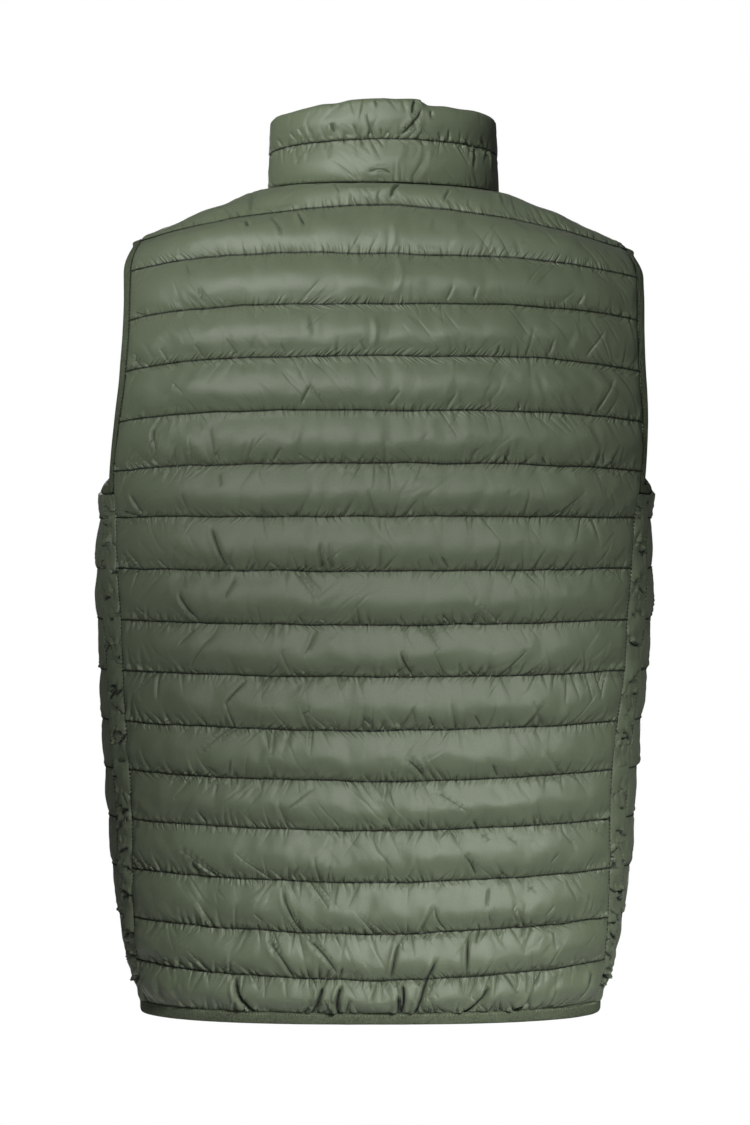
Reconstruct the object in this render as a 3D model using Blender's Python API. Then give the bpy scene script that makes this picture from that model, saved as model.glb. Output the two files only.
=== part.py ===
"""Quilted stand-collar vest, worn shape with nobody in it, closed by a centre front zip.

Sizes below are millimetres; meshes are made in metres. +Z is up, the front faces -Y and the
wearer's left is +X. The origin is the middle of the neck base, level with the shoulder points.

Each cloth panel is a wall: a plain inner sheet and an outer sheet raised into quilted channels.
Panels are laid out by quilt lines. Line 0 is the shoulder seam and neckline, lines 1 to 16 are
sewn across the body, and line 17 is the top of the hem binding. "Line 6.5" means half-way
between lines 6 and 7. Across a panel, places are fractions of the arc length of the row.
"""
import math
from collections import namedtuple

import bmesh
import bpy
import numpy as np

MM = 0.001
SEAM_GAP = 0.3                 # clearance between neighbouring pieces
WALL = 2.4                     # cloth and filling where a quilt line presses them together
BACK_PUFF = 7.5                # how far a channel stands above its quilt lines
FRONT_PUFF = 7.0
SIDE_PUFF = 3.0
COLLAR_PUFF = 5.0
THIN_SHARE = 0.6               # how much of a channel's height goes where it turns to the side
BODY_THINS = (140.0, 220.0)    # it goes between these distances from the middle
COLLAR_THINS = (60.0, 100.0)
PUFF_FADE = 14.0               # a channel runs out over this length before a seam
SECTION_POWER = 2.4            # 2 would make the body's cross-section an ellipse

LAST_LINE = 17.0
UNDERARM_LINE = 6.5            # where the armhole's bottom lies
HEM_GATHER_LINE = 16.0         # the channel below this line is gathered by the hem elastic
GATHER_DEPTH = 2.6
CHANNEL_STEPS = (0.0, 0.18, 0.5, 0.82)

NECK_HALF_WIDTH = 98.4
NECK_HALF_DEPTH = 75.0
NECK_CENTRE_Y = -13.0
NECK_BACK_Z = -3.0
NECK_POINT_ANGLE = math.radians(80.0)   # from centre back to the shoulder seam
NECK_POINT_Z = -3.5
SHOULDER_TIP = (206.0, 14.0, -50.0)
FRONT_FIRST_LINE = 0.012       # the front starts just clear of the shoulder seam
NECK_FRONT_LINE = 2.25         # the neckline meets the zip here
NECK_ROUND = 5.0
COLLAR_END = 2.0               # places along the neckline: 0 centre back, 1 shoulder, 2 zip

COLLAR_STITCH = 0.53           # height share of the line sewn along the collar
COLLAR_GAP = 0.4               # clearance above the neckline, which slopes at the front
COLLAR_LEAN = 6.0
COLLAR_TAPER = 2.0

HEM_BINDING_Z = -704.0

ZIP_OPENING = 10.0             # half the distance between the two fronts
CHAIN_HALF = 3.0
CHAIN_THICK = 2.4
TAPE_THICK = 1.2
SLIDER_HALF = 4.6
SLIDER_TOP_Z = -5.0
SLIDER_LENGTH = 11.0
SLIDER_PLATE = 1.4
PIVOT_Z = -9.0
PIVOT_OUT = 3.0                # pivot in front of the tape's middle
TAB_LENGTH = 24.0

CLOTH_GREEN = (0.105, 0.125, 0.088, 1.0)
TRIM_GREEN = (0.072, 0.088, 0.062, 1.0)
METAL_GREY = (0.20, 0.21, 0.20, 1.0)

BACK_COLUMNS = ("line", "z_centre", "depth", "half_width", "roundness", "z_edge", "bow")
BACK_LINES = (
    (1, -23.5, 78.0, 206.0, 0.9700, -53.0, 1.8),
    (2, -66.3, 105.0, 212.6, 0.9010, -79.5, 3.5),
    (3, -108.9, 122.0, 212.6, 0.8850, -119.0, 4.0),
    (4, -152.3, 131.0, 214.3, 0.8770, -162.0, 4.0),
    (5, -196.8, 135.0, 218.5, 0.9050, -204.0, 4.0),
    (6, -240.3, 135.5, 221.0, 0.9325, -245.2, 3.0),
    (7, -283.7, 134.5, 217.0, 0.9235, -284.0, 2.0),
    (8, -328.8, 133.0, 215.0, 0.9090, -326.4, 2.0),
    (9, -373.0, 130.5, 211.5, 0.8980, -369.5, 2.0),
    (10, -415.7, 128.0, 209.7, 0.9020, -412.0, 2.0),
    (11, -460.0, 126.0, 205.5, 0.8950, -454.3, 2.0),
    (12, -501.8, 124.0, 201.7, 0.8905, -495.0, 1.8),
    (13, -542.9, 123.0, 199.8, 0.8940, -536.5, 1.6),
    (14, -585.8, 122.5, 199.6, 0.9050, -578.0, 1.4),
    (15, -628.0, 121.0, 198.8, 0.9270, -619.6, 1.4),
    (16, -666.2, 118.5, 196.7, 0.9480, -656.0, 1.6),
    (17, -694.7, 111.0, 189.5, 0.9700, -693.0, 1.6),
)
# side_y is where the gusset's front seam lies
SIDE_COLUMNS = ("line", "side_y")
SIDE_LINES = ((6.5, 41.0), (8, 42.5), (10, 44.0), (12, 46.0), (13, 45.5), (14, 42.0),
              (15, 34.0), (16, 22.0), (17, 9.0))
FRONT_COLUMNS = ("line", "z_inner", "z_outer", "depth", "half_width", "inner_x", "edge_y")
FRONT_LINES = (
    (1, -30.0, -58.0, 52.6, 209.0, 86.0, -12.9),
    (2, -64.0, -84.0, 82.0, 210.0, 44.0, -33.0),
    (2.25, -76.0, -93.0, 88.0, 210.5, 10.0, -37.0),
    (3, -108.0, -121.0, 103.0, 212.0, 10.0, -46.0),
    (4, -151.5, -163.0, 117.0, 215.0, 10.0, -53.0),
    (5, -195.0, -205.0, 126.0, 221.0, 10.0, -52.0),
    (6, -238.5, -246.0, 130.0, 229.0, 10.0, -36.0),
    (6.18, -246.0, -253.3, 130.5, 231.5, 10.0, -22.0),
    (6.34, -253.0, -259.4, 130.8, 233.8, 10.0, 0.0),
    (6.5, -260.0, -265.0, 131.0, 236.0, 10.0, 41.0),
    (7, -281.0, -284.0, 131.5, 235.6, 10.0, 41.5),
    (8, -324.0, -326.4, 131.0, 236.5, 10.0, 42.5),
    (10, -410.0, -412.0, 127.0, 232.5, 10.0, 44.0),
    (12, -494.0, -495.0, 123.0, 226.5, 10.0, 46.0),
    (14, -577.0, -578.0, 120.0, 220.5, 10.0, 42.0),
    (15, -618.5, -619.6, 118.0, 214.5, 10.0, 34.0),
    (16, -655.0, -656.0, 115.0, 207.5, 10.0, 22.0),
    (17, -692.5, -693.0, 109.0, 195.4, 10.0, 9.0),
)
COLLAR_COLUMNS = ("angle", "top_z")
COLLAR_TOP = ((0, 68.5), (15, 67.5), (30, 65.0), (60, 60.0), (75, 57.5), (90, 52.0), (120, 34.0),
              (150, 12.0), (180, -4.0))
# the vest hangs a little askew: sideways shift of everything at height z
SWAY_COLUMNS = ("z", "shift")
SWAY = ((-710, 4.0), (-566, 3.2), (-484, 3.6), (-443, 2.4), (-402, 1.0), (-320, 0.6),
        (-268, -1.0), (-217, -4.2), (-166, -6.5), (-80, -7.5), (-40, -7.0), (80, -7.0))
# its left shoulder sits higher than its right: rise for each mm sideways at height z
TILT_COLUMNS = ("z", "rise")
TILT = ((-720, 0.0), (-115, 0.0), (-60, 0.018), (0, 0.018), (45, 0.0), (80, 0.0))


# ---------------------------------------------------------------- curves and tables

def smooth_curve(places, values):
    """A curve through the points that never swings past them, as a function."""
    x = np.asarray(places, float)
    y = np.asarray(values, float)
    step = np.diff(x)
    slope = np.diff(y) / step
    tangent = np.zeros_like(y)
    tangent[0], tangent[-1] = slope[0], slope[-1]
    same = slope[:-1] * slope[1:] > 0
    before = 2 * step[1:] + step[:-1]
    after = step[1:] + 2 * step[:-1]
    mean = np.zeros_like(slope[:-1])
    mean[same] = (before + after)[same] / (before / np.where(same, slope[:-1], 1.0)
                                           + after / np.where(same, slope[1:], 1.0))[same]
    tangent[1:-1] = mean

    def at(place):
        place = np.clip(place, x[0], x[-1])
        i = np.clip(np.searchsorted(x, place, side="right") - 1, 0, len(x) - 2)
        t = (place - x[i]) / step[i]
        return (y[i] * (1 + 2 * t) * (1 - t) ** 2 + y[i + 1] * t * t * (3 - 2 * t)
                + step[i] * t * (1 - t) * (tangent[i] * (1 - t) - tangent[i + 1] * t))

    return at


def table(columns, rows):
    """One smooth curve for each named column, read by the first column."""
    data = np.array(rows, float)
    return {name: smooth_curve(data[:, 0], data[:, i])
            for i, name in enumerate(columns) if i}


BACK = table(BACK_COLUMNS, BACK_LINES)
SIDE = table(SIDE_COLUMNS, SIDE_LINES)
FRONT = table(FRONT_COLUMNS, FRONT_LINES)
COLLAR = table(COLLAR_COLUMNS, COLLAR_TOP)
SHIFT = table(SWAY_COLUMNS, SWAY)["shift"]
RISE = table(TILT_COLUMNS, TILT)["rise"]


def along(points, fractions):
    """The points that lie at these fractions of a polyline's length."""
    lengths = np.concatenate([[0.0], np.cumsum(np.linalg.norm(np.diff(points, axis=0), axis=1))])
    places = np.clip(fractions, 0.0, 1.0) * lengths[-1]
    return np.stack([np.interp(places, lengths, points[:, k]) for k in range(3)], axis=1)


def ease(value, start, stop):
    t = np.clip((np.asarray(value, float) - start) / (stop - start), 0.0, 1.0)
    return t * t * (3 - 2 * t)


def settle(points):
    """Shift and tilt finished points so that the vest hangs a little askew."""
    points = np.array(points, float)
    points[..., 2] += RISE(points[..., 2]) * np.clip(points[..., 0], -SHOULDER_TIP[0],
                                                     SHOULDER_TIP[0])
    points[..., 0] += SHIFT(points[..., 2])
    return points


# ---------------------------------------------------------------- the body's rows

def angle_at_x(x, width):
    return math.asin(min(1.0, x / width) ** (SECTION_POWER / 2))


def angle_at_y(y, depth):
    return math.acos(min(1.0, y / depth) ** (SECTION_POWER / 2))


def section(width, depth, start, stop, count=90):
    """A stretch of one rounded quarter of the cross-section, from angle start to stop."""
    angle = np.linspace(start, stop, count)
    return np.stack([width * np.sin(angle) ** (2 / SECTION_POWER),
                     depth * np.abs(np.cos(angle)) ** (2 / SECTION_POWER)], axis=1)


def neck_point(angle):
    return np.array([NECK_HALF_WIDTH * np.sin(angle),
                     NECK_CENTRE_Y + NECK_HALF_DEPTH * np.cos(angle),
                     NECK_BACK_Z + (NECK_POINT_Z - NECK_BACK_Z) * angle / NECK_POINT_ANGLE])


def back_neck_curve():
    return np.array([neck_point(a) for a in np.linspace(0.0, NECK_POINT_ANGLE, 60)])


def shoulder_seam():
    return np.linspace(neck_point(NECK_POINT_ANGLE), SHOULDER_TIP, 30)


def top_edge_of_back():
    return np.concatenate([back_neck_curve(), shoulder_seam()[1:]])


def line_length(points):
    return float(np.linalg.norm(np.diff(points, axis=0), axis=1).sum())


# the share of the back's top edge that is neckline
NECK_SHARE = line_length(back_neck_curve()) / line_length(top_edge_of_back())


def back_line(line):
    """Half of a back row at line 1 or below, from centre back to its edge."""
    edge = float(BACK["half_width"](line))
    roundness = float(BACK["roundness"](line))
    flat = section(edge / roundness, float(BACK["depth"](line)), 0.0,
                   angle_at_x(roundness, 1.0))
    low, high = float(BACK["z_centre"](line)), float(BACK["z_edge"](line))
    z = low + (high - low) * (flat[:, 0] / edge) ** float(BACK["bow"](line))
    return np.column_stack([flat, z])


def back_row(line, across):
    """Points of the back at this line; across runs from -1, the right edge, to 1, the left."""
    across = np.asarray(across, float)
    share = np.abs(across)
    if line >= 1:
        points = along(back_line(line), share)
    else:
        top = along(top_edge_of_back(), share)
        points = top + (along(back_line(1.0), share) - top) * line
    points[:, 0] *= np.where(across < 0, -1.0, 1.0)
    return points


def body_half_width(line):
    return float(BACK["half_width"](line) / BACK["roundness"](line))


def side_row(line, across):
    """Points of the left gusset; across runs from 0, the back seam, to 1, the front seam."""
    depth = float(BACK["depth"](line))
    flat = section(body_half_width(line), depth, angle_at_x(float(BACK["roundness"](line)), 1.0),
                   angle_at_y(float(SIDE["side_y"](line)), depth))
    points = np.column_stack([flat, np.full(len(flat), float(BACK["z_edge"](line)))])
    trim = SEAM_GAP / line_length(points)
    return along(points, trim + (1 - 2 * trim) * np.asarray(across, float))


def front_line(line):
    """A left front row at line 1 or below, from its inner edge to its outer edge."""
    below_arm = line >= UNDERARM_LINE
    width = body_half_width(line) if below_arm else float(FRONT["half_width"](line))
    depth = float(FRONT["depth"](line))
    edge_y = float(SIDE["side_y"](line) if below_arm else FRONT["edge_y"](line))
    start = angle_at_x(float(FRONT["inner_x"](line)), width)
    if edge_y < 0:
        flat = section(width, depth, start, angle_at_y(-edge_y, depth))
        flat[:, 1] *= -1
    else:
        flat = section(width, depth, start, math.pi / 2)
        flat[:, 1] *= -1
        back_depth = float(BACK["depth"](line))
        wrapped = section(width, back_depth, math.pi / 2, angle_at_y(edge_y, back_depth))
        flat = np.concatenate([flat, wrapped[1:]])
    outer = float(BACK["z_edge"](line) if below_arm else FRONT["z_outer"](line))
    inner = float(FRONT["z_inner"](line))
    steps = np.concatenate([[0.0], np.cumsum(np.linalg.norm(np.diff(flat, axis=0), axis=1))])
    return np.column_stack([flat, inner + (outer - inner) * (steps / steps[-1]) ** 2])


def front_row(line, across):
    """Points of the left front; across runs from 0, the neckline or zip, to 1, the outer edge."""
    across = np.asarray(across, float)
    if line >= 1:
        return along(front_line(line), across)
    top = along(shoulder_seam(), across)
    points = top + (along(front_line(1.0), across) - top) * line
    points[:, 0] += NECK_ROUND * math.sin(math.pi * line) * (1 - across) ** 2
    return points


def neckline(place):
    """The left half of the neckline: 0 centre back, 1 the shoulder seam, 2 the zip."""
    if place <= 1:
        return along(back_neck_curve(), [place])[0]
    return front_row((place - 1) * NECK_FRONT_LINE, [0.0])[0]


def collar_row(height, places):
    """Points of the collar; height 0 is its base, 1 its top; places run -2 to 2 as in neckline."""
    points = []
    for place in places:
        base = neckline(abs(place))
        angle = math.degrees(math.acos(np.clip((base[1] - NECK_CENTRE_Y) / NECK_HALF_DEPTH,
                                               -1.0, 1.0)))
        top = np.array([base[0] - COLLAR_TAPER * (base[0] / NECK_HALF_WIDTH) ** 3,
                        base[1] - COLLAR_LEAN * max(0.0, base[1]) / 62.0,
                        float(COLLAR["top_z"](angle))])
        base = base + np.array([0.0, 0.0, COLLAR_GAP])
        point = base + (top - base) * height
        point[0] *= -1 if place < 0 else 1
        points.append(point)
    return np.array(points)


# ---------------------------------------------------------------- walls

# row: function of (line, across); first and last: its lines; ends: its places across;
# line_step: a small step of line; facing: turns the normals outwards; puff: height of a
# channel; thins: where it thins sideways; phase: how far the channels are shifted; gathered:
# drawn in by the hem elastic
Panel = namedtuple("Panel", "row first last ends line_step facing puff thins phase gathered")

BACK_PANEL = Panel(back_row, 0.0, LAST_LINE, (-1.0, 1.0), 0.02, 1, BACK_PUFF, BODY_THINS, 0.0,
                   True)
FRONT_PANEL = Panel(front_row, FRONT_FIRST_LINE, LAST_LINE, (0.0, 1.0), 0.02, -1, FRONT_PUFF,
                    BODY_THINS, 0.0, True)
SIDE_PANEL = Panel(side_row, UNDERARM_LINE, LAST_LINE, (0.0, 1.0), 0.02, 1, SIDE_PUFF, None, 0.5,
                   False)
COLLAR_PANEL = Panel(collar_row, 0.0, 1.0, (-COLLAR_END, COLLAR_END), 0.002, -1, COLLAR_PUFF,
                     COLLAR_THINS, 0.0, False)


def seam_normal(side):
    """The direction that both panels' edges share along the shoulder seam of one side."""
    run = np.array(SHOULDER_TIP) - neck_point(NECK_POINT_ANGLE)
    normal = np.array([-run[2], 0.0, run[0]]) / math.hypot(run[0], run[2])
    return normal * (side, 1, 1)


def body_normals(panel, line, points):
    """Normals of the rounded cross-section, which swells and narrows from line to line."""
    def sizes(at_line):
        below_arm = at_line >= UNDERARM_LINE or panel is not FRONT_PANEL
        width = body_half_width(at_line) if below_arm else float(FRONT["half_width"](at_line))
        return np.array([width, float(BACK["depth"](at_line)), float(FRONT["depth"](at_line)),
                         float(BACK["z_edge"](at_line))])

    upper, lower = sizes(max(line - 0.1, 1.0)), sizes(min(line + 0.1, LAST_LINE))
    grow = (lower - upper)[:3] / (lower - upper)[3]
    width, back_depth, front_depth = sizes(line)[:3]
    x, y = points[:, 0], points[:, 1]
    depth = np.where(y > 0, back_depth, front_depth)
    depth_grow = np.where(y > 0, grow[1], grow[2])
    along_x, along_y = (np.abs(x) / width) ** SECTION_POWER, (np.abs(y) / depth) ** SECTION_POWER
    normals = np.column_stack([
        np.sign(x) * along_x / np.maximum(np.abs(x), 1e-6),
        np.sign(y) * along_y / np.maximum(np.abs(y), 1e-6),
        -along_x * grow[0] / width - along_y * depth_grow / depth])
    return normals / np.linalg.norm(normals, axis=1)[:, None]


def normals_along(panel, line, across):
    """Outward unit normals of a panel at places along one row."""
    if panel is not COLLAR_PANEL and line >= 1.0:
        return body_normals(panel, line, panel.row(line, across))
    low, high = panel.ends
    down = (panel.row(min(line + panel.line_step, panel.last), across)
            - panel.row(max(line - panel.line_step, panel.first), across))
    out = (panel.row(line, np.minimum(across + 0.01, high))
           - panel.row(line, np.maximum(across - 0.01, low)))
    normals = np.cross(out, down) * panel.facing
    if panel is COLLAR_PANEL:
        # its ends stop square beside the zip
        normals[np.abs(across) > COLLAR_END - 1e-9, 0] = 0.0
    normals /= np.linalg.norm(normals, axis=1)[:, None]
    if line == panel.first and panel is FRONT_PANEL:
        normals[:] = seam_normal(1)
    elif line == panel.first and panel is BACK_PANEL:
        for side in (-1, 1):
            normals[side * across > NECK_SHARE - 1e-9] = seam_normal(side)
    return normals


def channel(share):
    """Height of a channel between two quilt lines, 0 at the lines and 1 in the middle."""
    return np.sin(np.pi * np.clip(share, 0.0, 1.0)) ** 0.65


def filling(panel, line, points):
    """How far the outer sheet stands above the quilt lines along one row."""
    if panel is COLLAR_PANEL:
        lower = line < COLLAR_STITCH
        share = line / COLLAR_STITCH if lower else (line - COLLAR_STITCH) / (1.1 - COLLAR_STITCH)
    else:
        share = (line + panel.phase) % 1.0
    height = panel.puff * channel(share)
    if panel.thins:
        height = height * (1.0 - THIN_SHARE * ease(np.abs(points[:, 0]), *panel.thins))
    if panel.phase:
        height *= ease(line - panel.first, 0.0, 0.3) * ease(panel.last - line, 0.0, 0.3)
    steps = np.concatenate([[0.0], np.cumsum(np.linalg.norm(np.diff(points, axis=0), axis=1))])
    fade = min(PUFF_FADE, 0.5 * steps[-1])
    return height * ease(steps, 0.0, fade) * ease(steps[-1] - steps, 0.0, fade)


def gathers(line, count):
    """Folds that the hem elastic draws into the last channel: every other column sinks."""
    share = max(0.0, line - HEM_GATHER_LINE)
    strength = GATHER_DEPTH * share ** 0.7 * (1.0 if share < 1 else 0.35)
    column = np.arange(count)
    sinks = (column % 2 == 1) & (column < count - 1)
    return -strength * sinks * (0.7 + 0.3 * np.sin(2.3 * column))


def outer_row(panel, line, across):
    points = panel.row(line, across)
    height = filling(panel, line, points)
    if panel.gathered:
        height = height + gathers(line, len(points))
    return points + normals_along(panel, line, across) * height[:, None]


def inner_row(panel, line, across):
    return panel.row(line, across) - normals_along(panel, line, across) * WALL


def strip_faces(bm, row_a, places_a, row_b, places_b):
    """Faces between two rows of vertices: quads where the rows match, triangles elsewhere."""
    i = j = 0
    while i < len(row_a) - 1 or j < len(row_b) - 1:
        next_a = places_a[i + 1] if i < len(row_a) - 1 else math.inf
        next_b = places_b[j + 1] if j < len(row_b) - 1 else math.inf
        if abs(next_a - next_b) < 1e-9:
            bm.faces.new((row_a[i], row_a[i + 1], row_b[j + 1], row_b[j]))
            i, j = i + 1, j + 1
        elif next_a < next_b:
            bm.faces.new((row_a[i], row_a[i + 1], row_b[j]))
            i += 1
        else:
            bm.faces.new((row_a[i], row_b[j + 1], row_b[j]))
            j += 1


def lay_rows(bm, rows):
    """Vertices and faces of one sheet; rows are (line, places across, points)."""
    laid = [(line, across, [bm.verts.new(point * MM) for point in settle(points)])
            for line, across, points in rows]
    for (_, across_a, verts_a), (_, across_b, verts_b) in zip(laid, laid[1:]):
        strip_faces(bm, verts_a, across_a, verts_b, across_b)
    return laid


def close_border(bm, outer, inner):
    """Faces that join the borders of a wall's two sheets."""
    outer_lines = [line for line, _, _ in outer]
    inner_lines = [line for line, _, _ in inner]
    for end in (0, -1):
        strip_faces(bm, outer[end][2], outer[end][1], inner[end][2], inner[end][1])
        strip_faces(bm, [verts[end] for _, _, verts in outer], outer_lines,
                    [verts[end] for _, _, verts in inner], inner_lines)


def add_object(name, bm, material):
    bmesh.ops.recalc_face_normals(bm, faces=bm.faces)
    mesh = bpy.data.meshes.new(name)
    bm.to_mesh(mesh)
    bm.free()
    mesh.materials.append(material)
    mesh.shade_smooth()
    mesh.set_sharp_from_angle(angle=math.radians(50.0))
    thing = bpy.data.objects.new(name, mesh)
    bpy.context.collection.objects.link(thing)
    return thing


def add_panel(name, panel, material, outer_plan, inner_plan, side=1):
    """One quilted wall. A plan lists (line, places across); side -1 makes the right-hand piece."""
    mirror = np.array([side, 1.0, 1.0])
    bm = bmesh.new()
    outer = lay_rows(bm, [(line, across, outer_row(panel, line, across) * mirror)
                          for line, across in outer_plan])
    inner = lay_rows(bm, [(line, across, inner_row(panel, line, across) * mirror)
                          for line, across in inner_plan])
    close_border(bm, outer, inner)
    return add_object(name, bm, material)


# ---------------------------------------------------------------- plans: where rows have points

def channel_lines(first, last, extra=()):
    lines = {whole + step for whole in range(int(first), int(last) + 1)
             for step in CHANNEL_STEPS}
    return sorted(line for line in lines | set(extra) if first <= line <= last)


def inner_lines(first, extra=()):
    """Rows of a plain inner sheet: close along the armhole, one a channel below it."""
    return (channel_lines(first, UNDERARM_LINE, extra)
            + [float(line) for line in range(math.ceil(UNDERARM_LINE), int(LAST_LINE) + 1)])


def split(first, last, count):
    return np.linspace(first, last, count + 1)


def back_columns(count):
    """count intervals on each half's neckline share and as many on its shoulder share."""
    half = np.concatenate([split(0.0, NECK_SHARE, count), split(NECK_SHARE, 1.0, count)[1:]])
    return np.concatenate([-half[:0:-1], half])


def with_edges(places, margin):
    """The same places and one more near each end, where the filling thins out."""
    return np.sort(np.append(places, [places[0] + margin, places[-1] - margin]))


def add_back(cloth):
    plain, fine = with_edges(back_columns(6), 0.03), with_edges(back_columns(12), 0.015)
    outer = [(line, fine if line > HEM_GATHER_LINE else plain)
             for line in channel_lines(0.0, LAST_LINE)]
    inner = [(line, back_columns(3)) for line in inner_lines(0.0)]
    add_panel("back", BACK_PANEL, cloth, outer, inner)


def add_front(name, cloth, side):
    plain, fine = with_edges(split(0.0, 1.0, 12), 0.035), with_edges(split(0.0, 1.0, 24), 0.018)
    extra = (FRONT_FIRST_LINE, NECK_FRONT_LINE, 6.34)
    outer = [(line, fine if line > HEM_GATHER_LINE else plain)
             for line in channel_lines(FRONT_FIRST_LINE, LAST_LINE, extra)]
    inner = [(line, split(0.0, 1.0, 7)) for line in inner_lines(FRONT_FIRST_LINE, extra)]
    add_panel(name, FRONT_PANEL, cloth, outer, inner, side)


def add_side(name, cloth, side):
    outer = [(line, split(0.0, 1.0, 3)) for line in channel_lines(UNDERARM_LINE, LAST_LINE)]
    inner = [(line, split(0.0, 1.0, 1)) for line in inner_lines(UNDERARM_LINE)]
    add_panel(name, SIDE_PANEL, cloth, outer, inner, side)


def add_collar(cloth):
    """Its columns stand over the points of the back's and the fronts' neckline."""
    front = [1 + line / NECK_FRONT_LINE
             for line in channel_lines(0.0, NECK_FRONT_LINE, (NECK_FRONT_LINE,))]
    half = np.concatenate([split(0.0, 1.0, 6), front[1:]])
    places = np.concatenate([-half[:0:-1], half])
    heights = ([COLLAR_STITCH * step for step in CHANNEL_STEPS]
               + [COLLAR_STITCH + (1 - COLLAR_STITCH) * step for step in CHANNEL_STEPS] + [1.0])
    outer = [(height, places) for height in heights]
    inner = [(height, places) for height in (0.0, COLLAR_STITCH, 1.0)]
    add_panel("collar", COLLAR_PANEL, cloth, outer, inner)


# ---------------------------------------------------------------- bindings

# outlines of the bindings: (reach past the cloth's edge, rise above its face)
ARMHOLE_SECTION = ((0.45, -2.7), (0.45, 0.7), (3.0, 1.4), (6.8, 1.0), (8.3, -0.8), (6.8, -2.9))
HEM_SECTION = ((0.4, -2.8), (0.4, 0.9), (3.0, 1.5), (7.2, 1.0), (9.6, -0.6), (9.0, -2.6),
               (6.0, -3.4))


def sweep(bm, stations, closed):
    """A tube through stations that each hold the same number of points."""
    rings = [[bm.verts.new(point * MM) for point in station] for station in stations]
    pairs = list(zip(rings, rings[1:] + rings[:1])) if closed else list(zip(rings, rings[1:]))
    for ring, following in pairs:
        for i in range(len(ring)):
            j = (i + 1) % len(ring)
            bm.faces.new((ring[i], ring[j], following[j], following[i]))
    if not closed:
        bm.faces.new(rings[0])
        bm.faces.new(rings[-1])


def armhole_path():
    """Points round the left armhole's edge and the cloth's normals there: down the back, along
    the gusset and up the front."""
    back = [(BACK_PANEL, line, 1.0) for line in channel_lines(0.0, UNDERARM_LINE)]
    side = [(SIDE_PANEL, UNDERARM_LINE, across) for across in split(0.0, 1.0, 3)[1:-1]]
    front = [(FRONT_PANEL, line, 1.0)
             for line in channel_lines(CHANNEL_STEPS[1], UNDERARM_LINE, (6.34,))[::-1]]
    points, normals = [], []
    for panel, line, across in back + side + front:
        points.append(panel.row(line, np.array([across]))[0])
        normals.append(normals_along(panel, line, np.array([across]))[0])
    return np.array(points), np.array(normals)


def add_armhole_binding(name, trim, side):
    points, normals = armhole_path()
    before = points - np.roll(points, 1, axis=0)
    after = np.roll(points, -1, axis=0) - points
    before /= np.linalg.norm(before, axis=1)[:, None]
    after /= np.linalg.norm(after, axis=1)[:, None]
    into_hole = np.cross(before + after, normals)
    into_hole /= np.linalg.norm(into_hole, axis=1)[:, None]
    # a mitre keeps the strip's width where the edge turns
    mitre = 1.0 / np.sqrt(np.clip(0.5 + 0.5 * (before * after).sum(axis=1), 0.4, 1.0))
    stations = []
    for point, inwards, normal, stretch in zip(points, into_hole, normals, mitre):
        ring = [point + inwards * reach * (stretch if reach < 1 else 1.0) + normal * rise
                for reach, rise in ARMHOLE_SECTION]
        stations.append(settle(np.array(ring) * (side, 1.0, 1.0)))
    bm = bmesh.new()
    sweep(bm, stations, closed=True)
    add_object(name, bm, trim)


def hem_path():
    """The body's bottom edge from the zip round the back to the zip, with its normals."""
    stretches = [(FRONT_PANEL, split(0.0, 1.0, 12), 1), (SIDE_PANEL, split(1.0, 0.0, 3)[1:-1], 1),
                 (BACK_PANEL, back_columns(8)[::-1], 1),
                 (SIDE_PANEL, split(0.0, 1.0, 3)[1:-1], -1), (FRONT_PANEL, split(1.0, 0.0, 12), -1)]
    points, normals = [], []
    for panel, across, side in stretches:
        points.extend(panel.row(LAST_LINE, across) * (side, 1, 1))
        normals.extend(normals_along(panel, LAST_LINE, across) * (side, 1, 1))
    return np.array(points), np.array(normals)


def add_hem_binding(trim):
    points, normals = hem_path()
    normals[:, 2] = 0
    normals /= np.linalg.norm(normals, axis=1)[:, None]
    # its two ends stop square beside the zip
    normals[0] = normals[-1] = (0.0, -1.0, 0.0)
    points[0, 0], points[-1, 0] = ZIP_OPENING, -ZIP_OPENING
    reach = HEM_SECTION[4][0]
    stations = []
    for point, normal in zip(points, normals):
        height = (point[2] - HEM_BINDING_Z) / reach
        stations.append(settle([point + normal * rise - np.array([0.0, 0.0, drop * height])
                                for drop, rise in HEM_SECTION]))
    bm = bmesh.new()
    sweep(bm, stations, closed=False)
    add_object("hem_binding", bm, trim)


# ---------------------------------------------------------------- zip

def zip_path(top_share):
    """(y, z) up the closed zip from the hem to a share of the collar's height."""
    path = [(-float(FRONT["depth"](LAST_LINE)), HEM_BINDING_Z)]
    path += [(-float(FRONT["depth"](line)), float(FRONT["z_inner"](line)))
             for line in np.arange(LAST_LINE, NECK_FRONT_LINE + 0.3, -0.5)]
    path += [tuple(front_row(NECK_FRONT_LINE, [0.0])[0][1:])]
    base, top = collar_row(0.0, [COLLAR_END])[0], collar_row(1.0, [COLLAR_END])[0]
    path += [tuple((base + (top - base) * share)[1:]) for share in (0.12, top_share)]
    return np.array(path)


def zip_strip(name, material, path, x_low, x_high, out_low, out_high):
    """A flat strip that follows the zip; out is measured forwards from the path."""
    run = np.gradient(path, axis=0)
    run /= np.linalg.norm(run, axis=1)[:, None]
    forwards = np.column_stack([-run[:, 1], run[:, 0]])
    stations = []
    for (y, z), (out_y, out_z) in zip(path, forwards):
        stations.append(settle([(x, y + out * out_y, z + out * out_z)
                                for x, out in ((x_low, out_low), (x_high, out_low),
                                               (x_high, out_high), (x_low, out_high))]))
    bm = bmesh.new()
    sweep(bm, stations, closed=False)
    add_object(name, bm, material)


def tape_middle_y():
    return collar_row(1.0, [COLLAR_END])[0][1] + WALL / 2


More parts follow.
